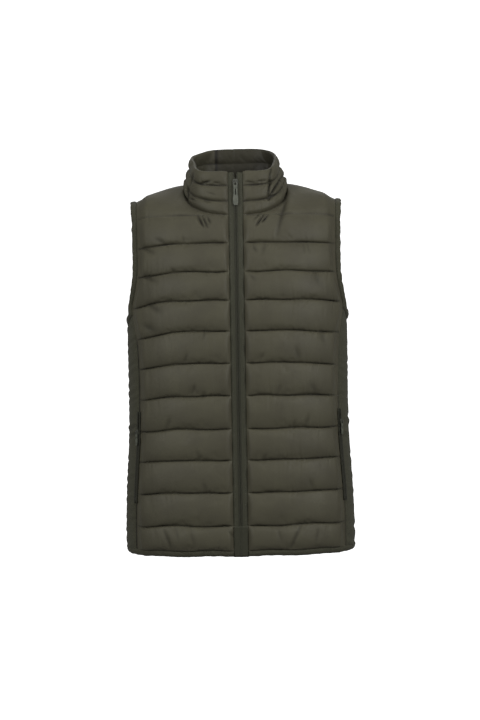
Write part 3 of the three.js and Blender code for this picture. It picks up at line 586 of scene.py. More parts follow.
def puckered(grid, breaks, seed, flip):
    """Draws the cloth in beside each seam, in short uneven puckers that fade into the channels."""
    out = grid_normals(grid, flip)
    place = lengths(grid, 1)
    depth = np.zeros(grid.shape[:2])
    for k, (a, b) in enumerate(zip(breaks[:-1], breaks[1:])):
        rows = slice(a, b + 1)
        up = lengths(grid[rows])
        s = place[rows]
        for line, distance in ((k, up), (k + 1, up[-1:] - up)):
            fast = wander(seed * 100 + line, *PUCKER_LENGTHS)(s)
            gate = smooth(wander(seed * 100 + 40 + line, *PUCKER_GROUPS)(s) * 0.6 + 0.45)
            depth[rows] += PUCKER_DEPTH * fast * gate * swell(distance, PUCKER_REACH)
            slow = np.maximum(wander(seed * 100 + 70 + line, *DIMPLE_LENGTHS)(s) - 0.5, 0)
            depth[rows] -= DIMPLE_DEPTH * slow * swell(distance, DIMPLE_REACH)
    depth[[0, -1]] = 0
    depth[:, [0, -1]] = 0
    return grid + out * depth[..., None]


# How dark the cloth is where light hardly reaches, from 0 to 1, and how far from the line

SEAM_SHADE_ABOVE = 3.0
SEAM_SHADE_BELOW = 1.2
SEAM_SHADE_LENGTHS = (30, 140)
SEAM_SHADE_UNEVEN = 0.4
SEAM_SHADE_LIMITS = (0.12, 0.95)
FRONT_SEAM_START = (6, 4)
FRONT_SEAM_END = (1, 4)
FRONT_SEAM_DEEPEST = (14, 10) # by the zip: the middle and half width of the darkest stretch
FRONT_SEAM_DEEPENED = 0.4
YOKE_LINE_SHADE = 0.5
PANEL_SEAM_DARKNESS = 0.55
COLLAR_SEAM_DARKNESS = 0.72
CREASE_SHADE = 0.24 # for each millimetre of a crease's depth
SIDE_SEAM_REACH = 3.6
SIDE_SEAM_FADE = 40
SIDE_SEAM_SHADE = {"front_left": (-350, 0.6), "front_right": (-255, 0.95)} # top level, darkness


def bell(distance, width):
    return np.exp(-(distance / width) ** 2)


def seam_shade(grid, breaks, seed, darkness, on_front=False):
    """How dark the cloth is beside its quilting lines: most under the swell above each line."""
    place = lengths(grid, 1)
    ends = np.ones(place.shape)
    if on_front:
        middle, width = FRONT_SEAM_DEEPEST
        ends = ramp(place, *FRONT_SEAM_START) * (1 + FRONT_SEAM_DEEPENED * bell(place - middle, width))
        ends *= ramp(place[:, -1:] - place, *FRONT_SEAM_END)
    shade = np.zeros(grid.shape[:2])
    for k, (a, b) in enumerate(zip(breaks[:-1], breaks[1:])):
        rows = slice(a, b + 1)
        up = lengths(grid[rows])
        for line, distance, reach in ((k, up, SEAM_SHADE_ABOVE), (k + 1, up[-1:] - up, SEAM_SHADE_BELOW)):
            if line in (0, len(breaks) - 1):
                continue
            uneven = wander(seed * 100 + 11 + line, *SEAM_SHADE_LENGTHS)(place[rows])
            strength = darkness * (1 + SEAM_SHADE_UNEVEN * uneven)
            if on_front and line == len(breaks) - 2:
                strength *= YOKE_LINE_SHADE
            dark = np.clip(strength, *SEAM_SHADE_LIMITS) * ends[rows] * bell(distance, reach)
            shade[rows] = np.maximum(shade[rows], np.clip(dark, 0, 1))
    return shade


def side_seam_shade(grid, top, darkness):
    """How dark a front is beside its side seam, which fades out at the given level."""
    place = lengths(grid, 1)
    near = bell(place[:, -1:] - place, SIDE_SEAM_REACH)
    return darkness * near * smooth((top - grid[..., 2]) / SIDE_SEAM_FADE)


def creased(grid, shade, creases, flip, held=1.0):
    """Presses the listed creases into a sheet, as soft troughs (or ridges, below 0)."""
    out = grid_normals(grid, flip)
    seen = grid[..., [0, 2]]
    for x0, z0, x1, z1, width, depth in creases:
        start, way = np.array([x0, z0]), np.array([x1 - x0, z1 - z0], float)
        t = np.clip(((seen - start) @ way) / (way @ way), 0, 1)
        distance = np.linalg.norm(seen - start - t[..., None] * way, axis=-1)
        fade = np.sin(math.pi * (0.12 + 0.76 * t)) * held
        grid = grid - out * (depth * (fade * bell(distance, width)))[..., None]
        dark = np.clip(CREASE_SHADE * depth, 0, 1) * fade * bell(1.5 * distance, width)
        shade = np.maximum(shade, dark)
    return grid, shade


# Creases that the photograph shows on each front: both ends' x and z, half width and depth.
FRONT_CREASES = {
    "right": [
        (-69, -55, -58, -77, 2.6, 4.2), (-60, -56, -51, -78, 2.4, 3.8), (-51, -57, -46, -70, 2.4, 3.2),
        (-64, -55, -55, -77, 2.6, -1.6), (-96, -92, -94, -106, 3.5, 1.2),
        (-147, -95, -128, -106, 5, 1.6), (-172, -108, -150, -122, 6, 1.8),
        (-118, -150, -112, -158, 4, 1.2), (-168, -162, -146, -174, 6, 1.8),
        (-160, -215, -140, -228, 7, 1.8), (-172, -250, -150, -262, 7, 1.6),
        (-62, -282, -58, -262, 4, 1.0), (-98, -322, -90, -304, 4, 1.2), (-84, -378, -78, -360, 4, 1.2),
        (-60, -372, -66, -384, 5, 1.0), (-132, -440, -124, -420, 5, 1.3),
        (-70, -496, -76, -478, 5, 1.0), (-139, -618, -126, -652, 4, 1.8),
        (-118, -616, -112, -640, 4, 1.0), (-22, -622, -10, -634, 3, 1.4),
        (-90, -618, -84, -648, 5, 1.1), (-60, -552, -66, -536, 5, 1.0),
    ],
    "left": [
        (50, -55, 36, -76, 2.2, 5.0), (57, -56, 47, -69, 2.2, 4.2), (44, -52, 32, -64, 2.4, 1.8),
        (52, -58, 42, -72, 2.6, -1.4), (94, -14, 74, -92, 5, 2.6), (104, -20, 92, -96, 8, -1.2),
        (30, -112, 36, -124, 4, 1.8), (52, -106, 46, -130, 5, 1.2), (120, -108, 122, -124, 4, 0.9),
        (128, -110, 132, -126, 3, 0.9), (24, -166, 32, -174, 4, 1.5), (140, -160, 150, -186, 8, 1.4),
        (150, -266, 156, -290, 7, 1.4), (108, -318, 104, -296, 6, 1.2), (38, -318, 46, -306, 4, 1.0),
        (142, -382, 130, -362, 6, 1.2), (70, -378, 74, -362, 4, 1.0), (118, -438, 126, -418, 5, 1.3),
        (96, -440, 100, -424, 4, 0.9), (40, -498, 48, -484, 5, 1.1), (132, -552, 124, -532, 5, 1.1),
        (106, -616, 90, -652, 4.5, 2.0), (66, -618, 72, -642, 4, 1.0), (140, -620, 134, -646, 4, 1.2),
    ],
}
COLLAR_CREASES = [
    (-87, 2, -88, -22, 2.6, 3.4), (-77, 26, -83, 4, 2.4, 2.6), (67, 32, 60, -26, 2.4, 6.0),
    (62, -25, 85, 16, 2.6, 5.5), (80, 8, 90, 26, 2.4, 3.0), (-63, 4, -46, 8, 2.6, 3.4),
    (-40, 5, -28, 4, 2.2, 1.8), (-84, -20, -76, -24, 2.4, 2.8), (-58, -26, -46, -31, 2.2, 1.6),
    (18, 6, 34, 4, 2.2, 1.8), (40, 6, 56, 8, 2.2, 2.0), (-36, -18, -52, -12, 2.2, 1.2),
]
INNER_CORNER_X = -36.5 # where the back of the collar folds on the wearer's right
INNER_CORNER_WIDTHS = (8, 3) # how far its shade reaches to the left and to the right
INNER_SHADE = {"inside": (0.24, 0.28), "low_down": (0.3, 0.1)} # everywhere, and more across the back
BACK_CREASES = [
    (-60, -8, -74, -44, 6, 1.8), (70, -10, 78, -50, 6, 2.0), (10, -56, 4, -30, 5, 1.0),
    (-128, -100, -150, -74, 7, 1.6), (146, -112, 128, -88, 7, 1.5), (-34, -158, -40, -136, 5, 1.1),
    (88, -162, 96, -142, 5, 1.0), (-152, -206, -132, -186, 7, 1.4), (20, -212, 26, -192, 5, 1.0),
    (140, -262, 122, -240, 6, 1.4), (-70, -268, -78, -248, 5, 1.1), (52, -322, 46, -300, 5, 1.2),
    (-134, -324, -118, -304, 6, 1.2), (-20, -380, -12, -358, 5, 1.1), (112, -384, 124, -364, 5, 1.3),
    (-96, -438, -104, -418, 5, 1.0), (30, -442, 24, -420, 5, 1.2), (150, -494, 134, -474, 6, 1.2),
    (-50, -498, -44, -478, 5, 1.0), (76, -552, 82, -530, 5, 1.1), (-128, -556, -114, -536, 6, 1.2),
    (-84, -616, -76, -650, 4.5, 1.6), (14, -616, 20, -646, 4.5, 1.2), (104, -616, 92, -652, 4.5, 1.7),
]


# Closed meshes

def shaded(mesh, shade):
    """Stores how dark each of a mesh's first points is. The rest stay as they are."""
    values = np.zeros(len(mesh.vertices))
    values[:shade.size] = shade.ravel()
    mesh.attributes.new("shade", "FLOAT", "POINT").data.foreach_set("value", values)


def rim_faces(outer, inner):
    """Faces round the border from a sheet's indices to those of a coarser one under it."""
    faces = []
    for turn in range(4):
        fine, coarse = np.rot90(outer, turn)[0], np.rot90(inner, turn)[0]
        ratio = (len(fine) - 1) // (len(coarse) - 1)
        for k in range(len(coarse) - 1):
            edge = fine[k * ratio:(k + 1) * ratio + 1]
            faces.append([*edge[::-1].tolist(), int(coarse[k]), int(coarse[k + 1])])
    return faces


def sheet_uv(grid):
    along_row = lengths(grid, 1)
    return np.stack([along_row - along_row[:, -1:] / 2, lengths(grid)], -1).reshape(-1, 2)


def closed_wall(name, outside, inside, flip=False):
    """A closed piece of cloth from its outer sheet and an inner one, which may be coarser."""
    first = outside.shape[0] * outside.shape[1]
    faces = grid_faces(*outside.shape[:2]).tolist()
    faces += grid_faces(*inside.shape[:2], first)[:, ::-1].tolist()
    faces += rim_faces(
        np.arange(first).reshape(outside.shape[:2]),
        first + np.arange(inside.shape[0] * inside.shape[1]).reshape(inside.shape[:2]),
    )
    if flip:
        faces = [f[::-1] for f in faces]
    points = np.concatenate([outside.reshape(-1, 3), inside.reshape(-1, 3)])
    mesh = new_mesh(name, points, faces, np.concatenate([sheet_uv(outside), sheet_uv(inside)]))
    mesh.shade_smooth()
    return new_object(name, mesh)


def sewn(obj, material, slot, *nodes):
    """Gives a piece its material, lets it ride with the garment and stand for its solids."""
    obj.data.materials.clear()
    obj.data.materials.append(material)
    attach(obj, GARMENT)
    if nodes:
        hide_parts(*nodes)
    return obj


def swept(name, points, across, out, section, closed=False):
    """A section of [across, out] points, or one for each station, swept along a line."""
    section = np.asarray(section, float)
    if section.ndim == 2:
        section = np.broadcast_to(section, (len(points), *section.shape))
    corners = points[:, None] + across[:, None] * section[..., :1] + out[:, None] * section[..., 1:]
    count, size = corners.shape[:2]
    index = np.arange(count * size).reshape(count, size)
    if closed:
        index = np.concatenate([index, index[:1]])
    turned = np.roll(index, -1, axis=1)
    faces = np.stack([index[:-1], turned[:-1], turned[1:], index[1:]], -1).reshape(-1, 4).tolist()
    if not closed:
        faces.append(index[0][::-1].tolist())
        faces.append(index[-1].tolist())
    uv = np.stack(np.broadcast_arrays(lengths(section[0])[None, :], lengths(points)[:, None]), -1)
    mesh = new_mesh(name, corners, faces, uv)
    mesh.shade_smooth()
    return new_object(name, turned_out(mesh))


def turned_out(mesh):
    """The mesh with its faces pointing out."""
    volume = 0.0
    for face in mesh.polygons:
        corners = [mesh.vertices[i].co for i in face.vertices]
        for b, c in zip(corners[1:], corners[2:]):
            volume += corners[0].dot(b.cross(c))
    if volume < 0:
        mesh.flip_normals()
    return mesh


def rounded_section(width, low, high, radius, steps=4):
    """A flat strip's section with round corners, centred across."""
    corners = [
        (width / 2 - radius, low + radius, -90),
        (width / 2 - radius, high - radius, 0),
        (-width / 2 + radius, high - radius, 90),
        (-width / 2 + radius, low + radius, 180),
    ]
    section = []
    for x, y, start in corners:
        for k in range(steps + 1):
            angle = math.radians(start + 90 * k / steps)
            section.append((x + radius * math.cos(angle), y + radius * math.sin(angle)))
    return np.array(section)


CAPSULE_RINGS = [(-0.36, 0.85), (0.0, 1.0), (0.36, 0.85)] # shares of the length and the radius


def capsule(length, radius, sides=6):
    """A short round-ended bar along X, as points and faces."""
    points = [(-length / 2, 0, 0)]
    for x, r in CAPSULE_RINGS:
        for k in range(sides):
            angle = 2 * math.pi * k / sides
            points.append((x * length, r * radius * math.cos(angle), r * radius * math.sin(angle)))
    points.append((length / 2, 0, 0))
    faces = [[0, 1 + (k + 1) % sides, 1 + k] for k in range(sides)]
    for ring in range(2):
        a, b = 1 + ring * sides, 1 + (ring + 1) * sides
        faces += [[a + k, a + (k + 1) % sides, b + (k + 1) % sides, b + k] for k in range(sides)]
    last = len(points) - 1
    faces += [[last, 1 + 2 * sides + k, 1 + 2 * sides + (k + 1) % sides] for k in range(sides)]
    return np.array(points, float), faces


def repeated(name, shape, origins, ways, outs):
    """One mesh of a small shape set at each origin, its X along the way and its Z out."""
    points, faces = shape
    x = unit(ways)
    z = unit(outs - (outs * x).sum(-1, keepdims=True) * x)
    y = np.cross(z, x)
    turns = np.stack([x, y, z], 1)
    placed = origins[:, None] + np.einsum("pi,nij->npj", points, turns)
    size = len(points)
    all_faces = [[i + n * size for i in f] for n in range(len(origins)) for f in faces]
    mesh = new_mesh(name, placed, all_faces)
    mesh.shade_smooth()
    return new_object(name, mesh)


def spaced(points, pitch, *others):
    """Points at an even pitch along a line, the way along it, and other values there."""
    run = lengths(points)
    at = np.arange(pitch / 2, run[-1], pitch)
    here = sampled(points, run, at)
    ahead = sampled(points, run, at + 0.5)
    return (here, unit(ahead - here + 1e-9), *[sampled(other, run, at) for other in others])


STITCH = {"pitch": 3.3, "length": 2.5, "radius": 0.27, "sunk": -0.05}


def stitched(name, lines):
    """Lock stitches along lines of (points, ways out)."""
    parts = [spaced(points, STITCH["pitch"], out) for points, out in lines]
    origins = np.concatenate([p[0] + unit(p[2]) * STITCH["sunk"] for p in parts])
    ways = np.concatenate([p[1] for p in parts])
    outs = np.concatenate([p[2] for p in parts])
    return repeated(name, capsule(STITCH["length"], STITCH["radius"]), origins, ways, outs)


# Materials

def shader(name, roughness, specular=0.35, sheen=0.0, sheen_roughness=0.5):
    material = bpy.data.materials.new(name)
    material.use_nodes = True
    bsdf = material.node_tree.nodes["Principled BSDF"]
    bsdf.inputs["Roughness"].default_value = roughness
    bsdf.inputs["Specular IOR Level"].default_value = specular
    bsdf.inputs["Sheen Weight"].default_value = sheen
    bsdf.inputs["Sheen Roughness"].default_value = sheen_roughness
    return material, bsdf


def node(material, kind, links=(), **values):
    """Adds a node, sets its properties and inputs, and links (output socket, input name) pairs."""
    made = material.node_tree.nodes.new(kind)
    for name, value in values.items():
        if name in made.inputs:
            made.inputs[name].default_value = value
        else:
            setattr(made, name, value)
    for source, name in links:
        material.node_tree.links.new(source, made.inputs[name])
    return made


def link(material, source, target):
    material.node_tree.links.new(source, target)


def tinted(material, bsdf, vector, dark, light, scale, contrast=(0.35, 0.65)):
    """Colours a surface between two shades by a soft noise, darker where its shade attribute is."""
    noise = node(material, "ShaderNodeTexNoise", [(vector, "Vector")], Scale=scale, Detail=4.0)
    colours = node(material, "ShaderNodeValToRGB", [(noise.outputs["Fac"], "Fac")])
    for element, position, colour in zip(colours.color_ramp.elements, contrast, (dark, light)):
        element.position = position
        element.color = (*colour, 1)
    shade = node(material, "ShaderNodeAttribute", attribute_name="shade")
    links = [(shade.outputs["Fac"], "Fac"), (colours.outputs["Color"], "Color1")]
    darker = node(material, "ShaderNodeMixRGB", links, blend_type="MULTIPLY", Color2=(*SEAM_SHADE, 1))
    link(material, darker.outputs["Color"], bsdf.inputs["Base Color"])


def bumped(material, bsdf, heights):
    """Adds bumps, each (height socket, strength, distance in mm), one on the other."""
    last = None
    for height, strength, distance in heights:
        bump = node(
            material, "ShaderNodeBump", [(height, "Height")], Strength=strength, Distance=distance * MM)
        if last:
            link(material, last, bump.inputs["Normal"])
        last = bump.outputs["Normal"]
    link(material, last, bsdf.inputs["Normal"])


RIDGES_PER_METRE = 20 / math.pi # of a wave texture at scale 1


def waves(material, vector, period, direction, detail=0.0, distortion=0.0):
    """Even ridges a period apart, in millimetres, along X or Y of the given coordinates."""
    return node(
        material, "ShaderNodeTexWave", [(vector, "Vector")], bands_direction=direction,
        Scale=1 / (period * MM * RIDGES_PER_METRE), Detail=detail, Distortion=distortion,
    ).outputs["Fac"]


def coordinates(material, kind):
    return node(material, "ShaderNodeTexCoord").outputs[kind]


SHELL_COLOURS = ((0.055, 0.051, 0.034), (0.064, 0.06, 0.039))
STRETCH_COLOURS = ((0.035, 0.035, 0.022), (0.056, 0.055, 0.036))
TRIM_COLOURS = ((0.04, 0.039, 0.025), (0.053, 0.052, 0.034))
TAPE_COLOURS = ((0.034, 0.035, 0.022), (0.041, 0.041, 0.026))
SEAM_SHADE = (0.1, 0.09, 0.075)
THREAD_COLOURS = ((0.034, 0.032, 0.022), (0.05, 0.047, 0.034))


def cloth(name, colours, scale, contrast, ridges, **surface):
    """A woven or knitted cloth. Its ridges are (period, way, detail, distortion, strength, depth)."""
    material, bsdf = shader(name, **surface)
    tinted(material, bsdf, coordinates(material, "Object"), *colours, scale, contrast)
    weave = coordinates(material, "UV")
    bumped(material, bsdf, [(waves(material, weave, *ridge[:4]), *ridge[4:]) for ridge in ridges])
    return material


def shell_cloth():
    """Fine nylon taffeta: a tight plain weave, papery crinkles and a soft low sheen."""
    material, bsdf = shader("shell_cloth", 0.6, 0.2, 0.02, 0.4)
    place = coordinates(material, "Object")
    weave = coordinates(material, "UV")
    tinted(material, bsdf, place, *SHELL_COLOURS, 22)
    crinkle = node(
        material, "ShaderNodeTexNoise", [(place, "Vector")], Scale=120.0, Detail=3.0, Distortion=0.6)
    patches = node(material, "ShaderNodeTexNoise", [(place, "Vector")], Scale=30.0, Detail=2.0)
    rough = node(material, "ShaderNodeMapRange", [(patches.outputs["Fac"], "Value")])
    rough.inputs["To Min"].default_value = 0.5
    rough.inputs["To Max"].default_value = 0.64
    link(material, rough.outputs["Result"], bsdf.inputs["Roughness"])
    warp = waves(material, weave, 0.32, "X")
    weft = waves(material, weave, 0.36, "Y")
    bumped(material, bsdf, [(crinkle.outputs["Fac"], 0.35, 0.9), (warp, 0.25, 0.05), (weft, 0.25, 0.05)])
    return material


def tape_cloth():
    """Zip tape: a fine herringbone of slanting ribs."""
    material, bsdf = shader("tape_cloth", 0.7, 0.2, 0.04, 0.5)
    tinted(material, bsdf, coordinates(material, "Object"), *TAPE_COLOURS, 300, (0.3, 0.7))
    weave = coordinates(material, "UV")
    slant = node(material, "ShaderNodeMapping", [(weave, "Vector")])
    slant.inputs["Rotation"].default_value = (0, 0, math.radians(45))
    columns = waves(material, weave, 1.6, "X")
    ribs = waves(material, slant.outputs["Vector"], 0.55, "Y")
    bumped(material, bsdf, [(columns, 0.4, 0.1), (ribs, 0.5, 0.1)])
    return material


def moulded(name, dark, light, roughness, grain=900.0):
    """Moulded plastic or painted metal with a fine grain and worn patches."""
    material, bsdf = shader(name, roughness, 0.45)
    place = coordinates(material, "Object")
    tinted(material, bsdf, place, dark, light, 180, (0.4, 0.6))
    noise = node(material, "ShaderNodeTexNoise", [(place, "Vector")], Scale=grain, Detail=2.0)
    bumped(material, bsdf, [(noise.outputs["Fac"], 0.25, 0.08)])
    return material


def thread():
    material, bsdf = shader("thread", 0.6, 0.3, 0.2, 0.5)
    tinted(material, bsdf, coordinates(material, "Object"), *THREAD_COLOURS, 500)
    return material


SHELL = shell_cloth()
# A matte softshell knit with fine wales and a soft nap, and an elastic binding with crosswise ribs
STRETCH = cloth(
    "stretch_cloth", STRETCH_COLOURS, 420, (0.3, 0.7),
    [(0.9, "X", 1.0, 0.4, 0.5, 0.12), (1.1, "Y", 1.0, 0.6, 0.35, 0.1)],
    roughness=0.85, specular=0.12, sheen=0.05, sheen_roughness=0.6,
)
BINDING = cloth(
    "binding_cloth", TRIM_COLOURS, 260, (0.3, 0.7),
    [(1.0, "Y", 1.0, 0.3, 0.6, 0.18), (0.6, "X", 0.0, 0.0, 0.3, 0.06)],
    roughness=0.78, specular=0.15, sheen=0.05,
)
TAPE = tape_cloth()
THREAD = thread()
COIL = moulded("coil_plastic", (0.016, 0.016, 0.012), (0.024, 0.024, 0.018), 0.4)
SLIDER_PAINT = moulded("slider_paint", (0.04, 0.041, 0.032), (0.06, 0.061, 0.048), 0.38, 1400.0)
PULL_RUBBER = moulded("pull_rubber", (0.062, 0.067, 0.05), (0.085, 0.09, 0.068), 0.55)


# Building the cloth pieces

def line_pins(shape, rows):
    pinned = np.zeros(shape, bool)
    pinned[rows] = True
    pinned[[0, -1]] = True
    pinned[:, [0, -1]] = True
    return pinned


def turned_panel(side):
    points, out, puff = half_panel(True, side)
    return SIDES[side](points), SIDES[side](out), puff


PANELS = {
    "front_left": turned_panel("left"),
    "front_right": turned_panel("right"),
    "back": whole_back(),
}
FLIPPED = {"front_left": False, "front_right": True, "back": True}
collar_sheet = collar_cloth()
COLLAR_PIN_ROWS = [*COLLAR_LINE_ROWS, *[len(collar_sheet) - 1 - r for r in COLLAR_LINE_ROWS]]
start_sheets = {
    name: (points + out * (WALL_AT_SEAM + puff)[..., None], line_pins(puff.shape, QUILT_ROWS), FLIPPED[name])
    for name, (points, out, puff) in PANELS.items()
}
start_sheets["collar"] = (collar_sheet, line_pins(collar_sheet.shape[:2], COLLAR_PIN_ROWS), False)
settled = inflated(start_sheets)
panel_share = np.where(panel_rows()[1] > 0, YOKE_SIM_SHARE, CHANNEL_SIM_SHARE)[:, None, None]
for name in PANELS:
    settled[name] = mixed(start_sheets[name][0], settled[name], panel_share)
settled["collar"] = mixed(collar_sheet, settled["collar"], COLLAR_SIM_SHARE)

CREASES = {
    "front_left": FRONT_CREASES["left"],
    "front_right": FRONT_CREASES["right"],
    "back": BACK_CREASES,
}
COLLAR_SEED = 9
seams = {} # each sheet's points, ways out and quilting lines
for number, (name, (points, out, puff)) in enumerate(PANELS.items(), 1):
    flip = FLIPPED[name]
    fine_breaks = [REFINED * b for b in PANEL_BREAKS]
    outside = refined_sheet(settled[name], PANEL_BREAKS, 2 if name == "back" else REFINED)
    outside = puckered(outside, fine_breaks, number, flip)
    shade = seam_shade(outside, fine_breaks, number, PANEL_SEAM_DARKNESS, name != "back")
    if name in SIDE_SEAM_SHADE:
        shade = np.maximum(shade, side_seam_shade(outside, *SIDE_SEAM_SHADE[name]))
    outside, shade = creased(outside, shade, CREASES[name], flip)
    inside = points - out * (puff * LINING_PUFF)[..., None]
    panel = closed_wall(name + "_cloth", outside, inside, flip)
    shaded(panel.data, shade)
    sewn(panel, SHELL, "shell", name)
    seams[name] = (outside, grid_normals(outside, flip), fine_breaks[1:-1])


def folded_faces(rows, columns):
    """Faces of a sheet that is folded over its middle row, with its borders closed on each other."""
    ring = np.arange(rows * columns).reshape(rows, columns)
    half = rows // 2
    faces = grid_faces(rows, columns).tolist()
    for k in range(columns - 1):
        faces.append([ring[0, k + 1], ring[0, k], ring[-1, k], ring[-1, k + 1]])
    for edge, order in ((ring[:, 0], 1), (ring[:, -1], -1)):
        for k in range(half - 1):
            faces.append([edge[k], edge[k + 1], edge[-2 - k], edge[-1 - k]][::order])
        faces.append([edge[half - 1], edge[half], edge[half + 1]][::order])
    return faces


def inner_shade(grid, half):
    """How dark the collar's inside is: more so low down, across the back and at the back's fold."""
    rows = len(grid)
    depth = smooth((np.arange(rows)[:, None] - half) / (rows - half))
    past_corner = grid[..., 0] - INNER_CORNER_X
    across_back = smooth(past_corner / 3)
    inside, low_down = (base + more * across_back for base, more in INNER_SHADE.values())
    shade = (depth > 0) * inside + low_down * depth
    corner = bell(past_corner, np.where(past_corner > 0, *INNER_CORNER_WIDTHS))
    return np.maximum(shade, corner * (grid[..., 1] > 20) * (depth > 0))


row_breaks = sorted(set([0, *COLLAR_PIN_ROWS, len(collar_sheet) - 1]))
fine_breaks = [REFINED * b for b in row_breaks]
fine = puckered(refined_sheet(settled["collar"], row_breaks), fine_breaks, COLLAR_SEED, False)
rows, columns = fine.shape[:2]
half = rows // 2
seen_in_front = (fine[..., 1] < 0) & (np.arange(rows) < half)[:, None]
shade = seam_shade(fine, fine_breaks, COLLAR_SEED, COLLAR_SEAM_DARKNESS)
shade = np.maximum(shade, inner_shade(fine, half))
fine, shade = creased(fine, shade, COLLAR_CREASES, False, seen_in_front)
uv = np.stack([lengths(fine, 1), lengths(fine)], -1)
collar_mesh = new_mesh("collar_cloth", fine, folded_faces(rows, columns), uv)
collar_mesh.shade_smooth()
shaded(collar_mesh, shade)
collar = sewn(new_object("collar_cloth", turned_out(collar_mesh)), SHELL, "shell", "collar")
seams["collar"] = (fine, grid_normals(fine), fine_breaks[1:3])

for name, (points, out, seam_rows) in seams.items():
    lines = [(points[row, 2:-2], out[row, 2:-2]) for row in seam_rows]
    sewn(stitched(name + "_quilting", lines), THREAD, "shell")


# Side panels

SIDE_RIPPLE = 0.9
SIDE_RIPPLE_LEAN = 0.25
SIDE_LENGTHS = (13, 30)
SIDE_GROUPS = (60, 160)
SIDE_BULGE = {"left": 1.8, "right": 3.2}
SIDE_THICKNESS = 2
SIDE_SEEDS = {"left": 21, "right": 25}
SIDE_SHARES = np.linspace(0, 1, SIDE_STEPS + 1)[None, :]


def side_edge(name):
    """A panel's side edge from the hem to the underarm corner, at twice the panel's rows."""
    edge = refined(PANELS[name][0][:, -1:], PANEL_BREAKS, 0)
    return edge[:2 * UNDERARM_ROW + 1, 0]


def side_sheet(side):
    """The stretch panel between a front's and the back's side edges, turned to the wearer's left."""
    fore, aft = SIDES[side](side_edge("front_" + side)), side_edge("back")
    dip = UNDERARM_DIP * np.linspace(0, 1, len(fore)) ** 5
    level = mixed(fore[:, None, 2], aft[:, None, 2], SIDE_SHARES)
    z = level - dip[:, None] * 4 * SIDE_SHARES * (1 - SIDE_SHARES)
    start, end = front_edge(fore[:, 2])[:, None], back_edge(aft[:, 2])[:, None]
    angle = angle_along(start, end, SIDE_SHARES, z)
    points = body_point(angle, z)
    points[:, 0], points[:, -1] = fore, aft
    return points, body_normal(angle, z)


def side_ripple(points, seed):
    """Slanting ripples across a side panel, fainter by its seams."""
    z, lean = points[..., 2], SIDE_RIPPLE_LEAN * lengths(points, 1)
    ripple = wander(seed, *SIDE_LENGTHS)(z + lean)
    ripple *= 0.6 + 0.4 * wander(seed + 1, *SIDE_GROUPS)(z - 2 * lean)
    edge = smooth(np.minimum(SIDE_SHARES, 1 - SIDE_SHARES) * 12)
    return SIDE_RIPPLE * ripple * (0.35 + 0.65 * edge)


SIDE_SHEETS = {side: side_sheet(side) for side in SIDES}
for side, turn in SIDES.items():
    points, out = SIDE_SHEETS[side]
    ripple = side_ripple(points, SIDE_SEEDS[side])
    bulge = SIDE_BULGE[side] * np.sin(math.pi * SIDE_SHARES) ** 0.5
    outside = turn(points + out * (SIDE_THICKNESS + ripple + bulge)[..., None])
    inside = turn(points + out * (0.5 * ripple + bulge)[..., None])
    outside, inside = (refined(sheet, [0, SIDE_STEPS], 1) for sheet in (outside, inside))
    panel = closed_wall(f"side_{side}_cloth", outside, inside, side == "right")
    sewn(panel, STRETCH, "stretch", "side_" + side)
    width, height = lengths(points, 1)[:, -1], lengths(points)[-1]


# Bindings

def armhole_line(side):
    """Points and ways out round an armhole, turned to the left, from the front's underarm corner."""
    rings = []
    for k, tip in enumerate((SHOULDER_TIP, SHOULDER_NORMAL)):
        front = SIDES[side](PANELS["front_" + side][k])[UNDERARM_ROW:-1, -1]
        back = PANELS["back"][k][UNDERARM_ROW:-1, -1][::-1]
        rings.append(np.concatenate([front, [tip], back, SIDE_SHEETS[side][k][-1][1:-1][::-1]]))
    return rings


def resampled(points, out, pitch):
    """A closed line at an even pitch, with its ways out evened a little."""
    closed = np.concatenate([points, points[:1]])
    run = lengths(closed)
    at = np.linspace(0, run[-1], round(run[-1] / pitch) + 1)[:-1]
    ways = sampled(np.concatenate([out, out[:1]]), run, at)
    for _ in range(6):
        ways = (np.roll(ways, 1, 0) + 2 * ways + np.roll(ways, -1, 0)) / 4
    return sampled(closed, run, at), unit(ways)


BINDING_FLARE = math.radians(20)
BINDING_PITCH = 3.0
BINDING_SEEDS = {"left": 31, "right": 35, "hem": 41}
GATHER_SWELL = 0.04 # a share of the section
GATHER_SHIFT = 0.35
GATHER_LENGTHS = (9, 26)
GATHER_SHIFT_LENGTHS = (14, 40)
ARMHOLE_SEAM = (2.0, 4.95) # where the stitches run on its section
HEM_SEAM = (2.2, 4.7)
ARMHOLE_SECTION = [
    (-0.2, -0.3), (-0.2, 1.5), (0.0, 3.6), (1.2, 4.7), (3.4, 5.1), (6.4, 4.9), (9.2, 4.3), (10.9, 3.2),
    (11.4, 1.9), (10.9, 0.7), (9.0, 0.0), (5.5, -0.3), (2.5, -0.5),
]
HEM_SECTION = [
    (-0.4, -0.2), (-0.4, 2.6), (0.6, 4.2), (2.8, 4.7), (5.5, 4.2), (8.2, 2.9), (10.0, 1.0), (10.6, -0.5),
    (10.2, -1.7), (8.6, -2.2), (6.0, -1.7), (3.0, -1.0),
]


def gathered(section, run, seed):
    """A binding's section at each station, swelling and shrinking as elastic does."""
    section = np.asarray(section)
    middle = section.mean(0)
    growth = 1 + GATHER_SWELL * wander(seed, *GATHER_LENGTHS)(run)[:, None, None]
    shift = GATHER_SHIFT * wander(seed + 1, *GATHER_SHIFT_LENGTHS)(run)[:, None]
    stations = middle + (section[None] - middle) * growth
    stations[..., 1] += shift * (section[None, :, 0] / section[:, 0].max())
    return stations


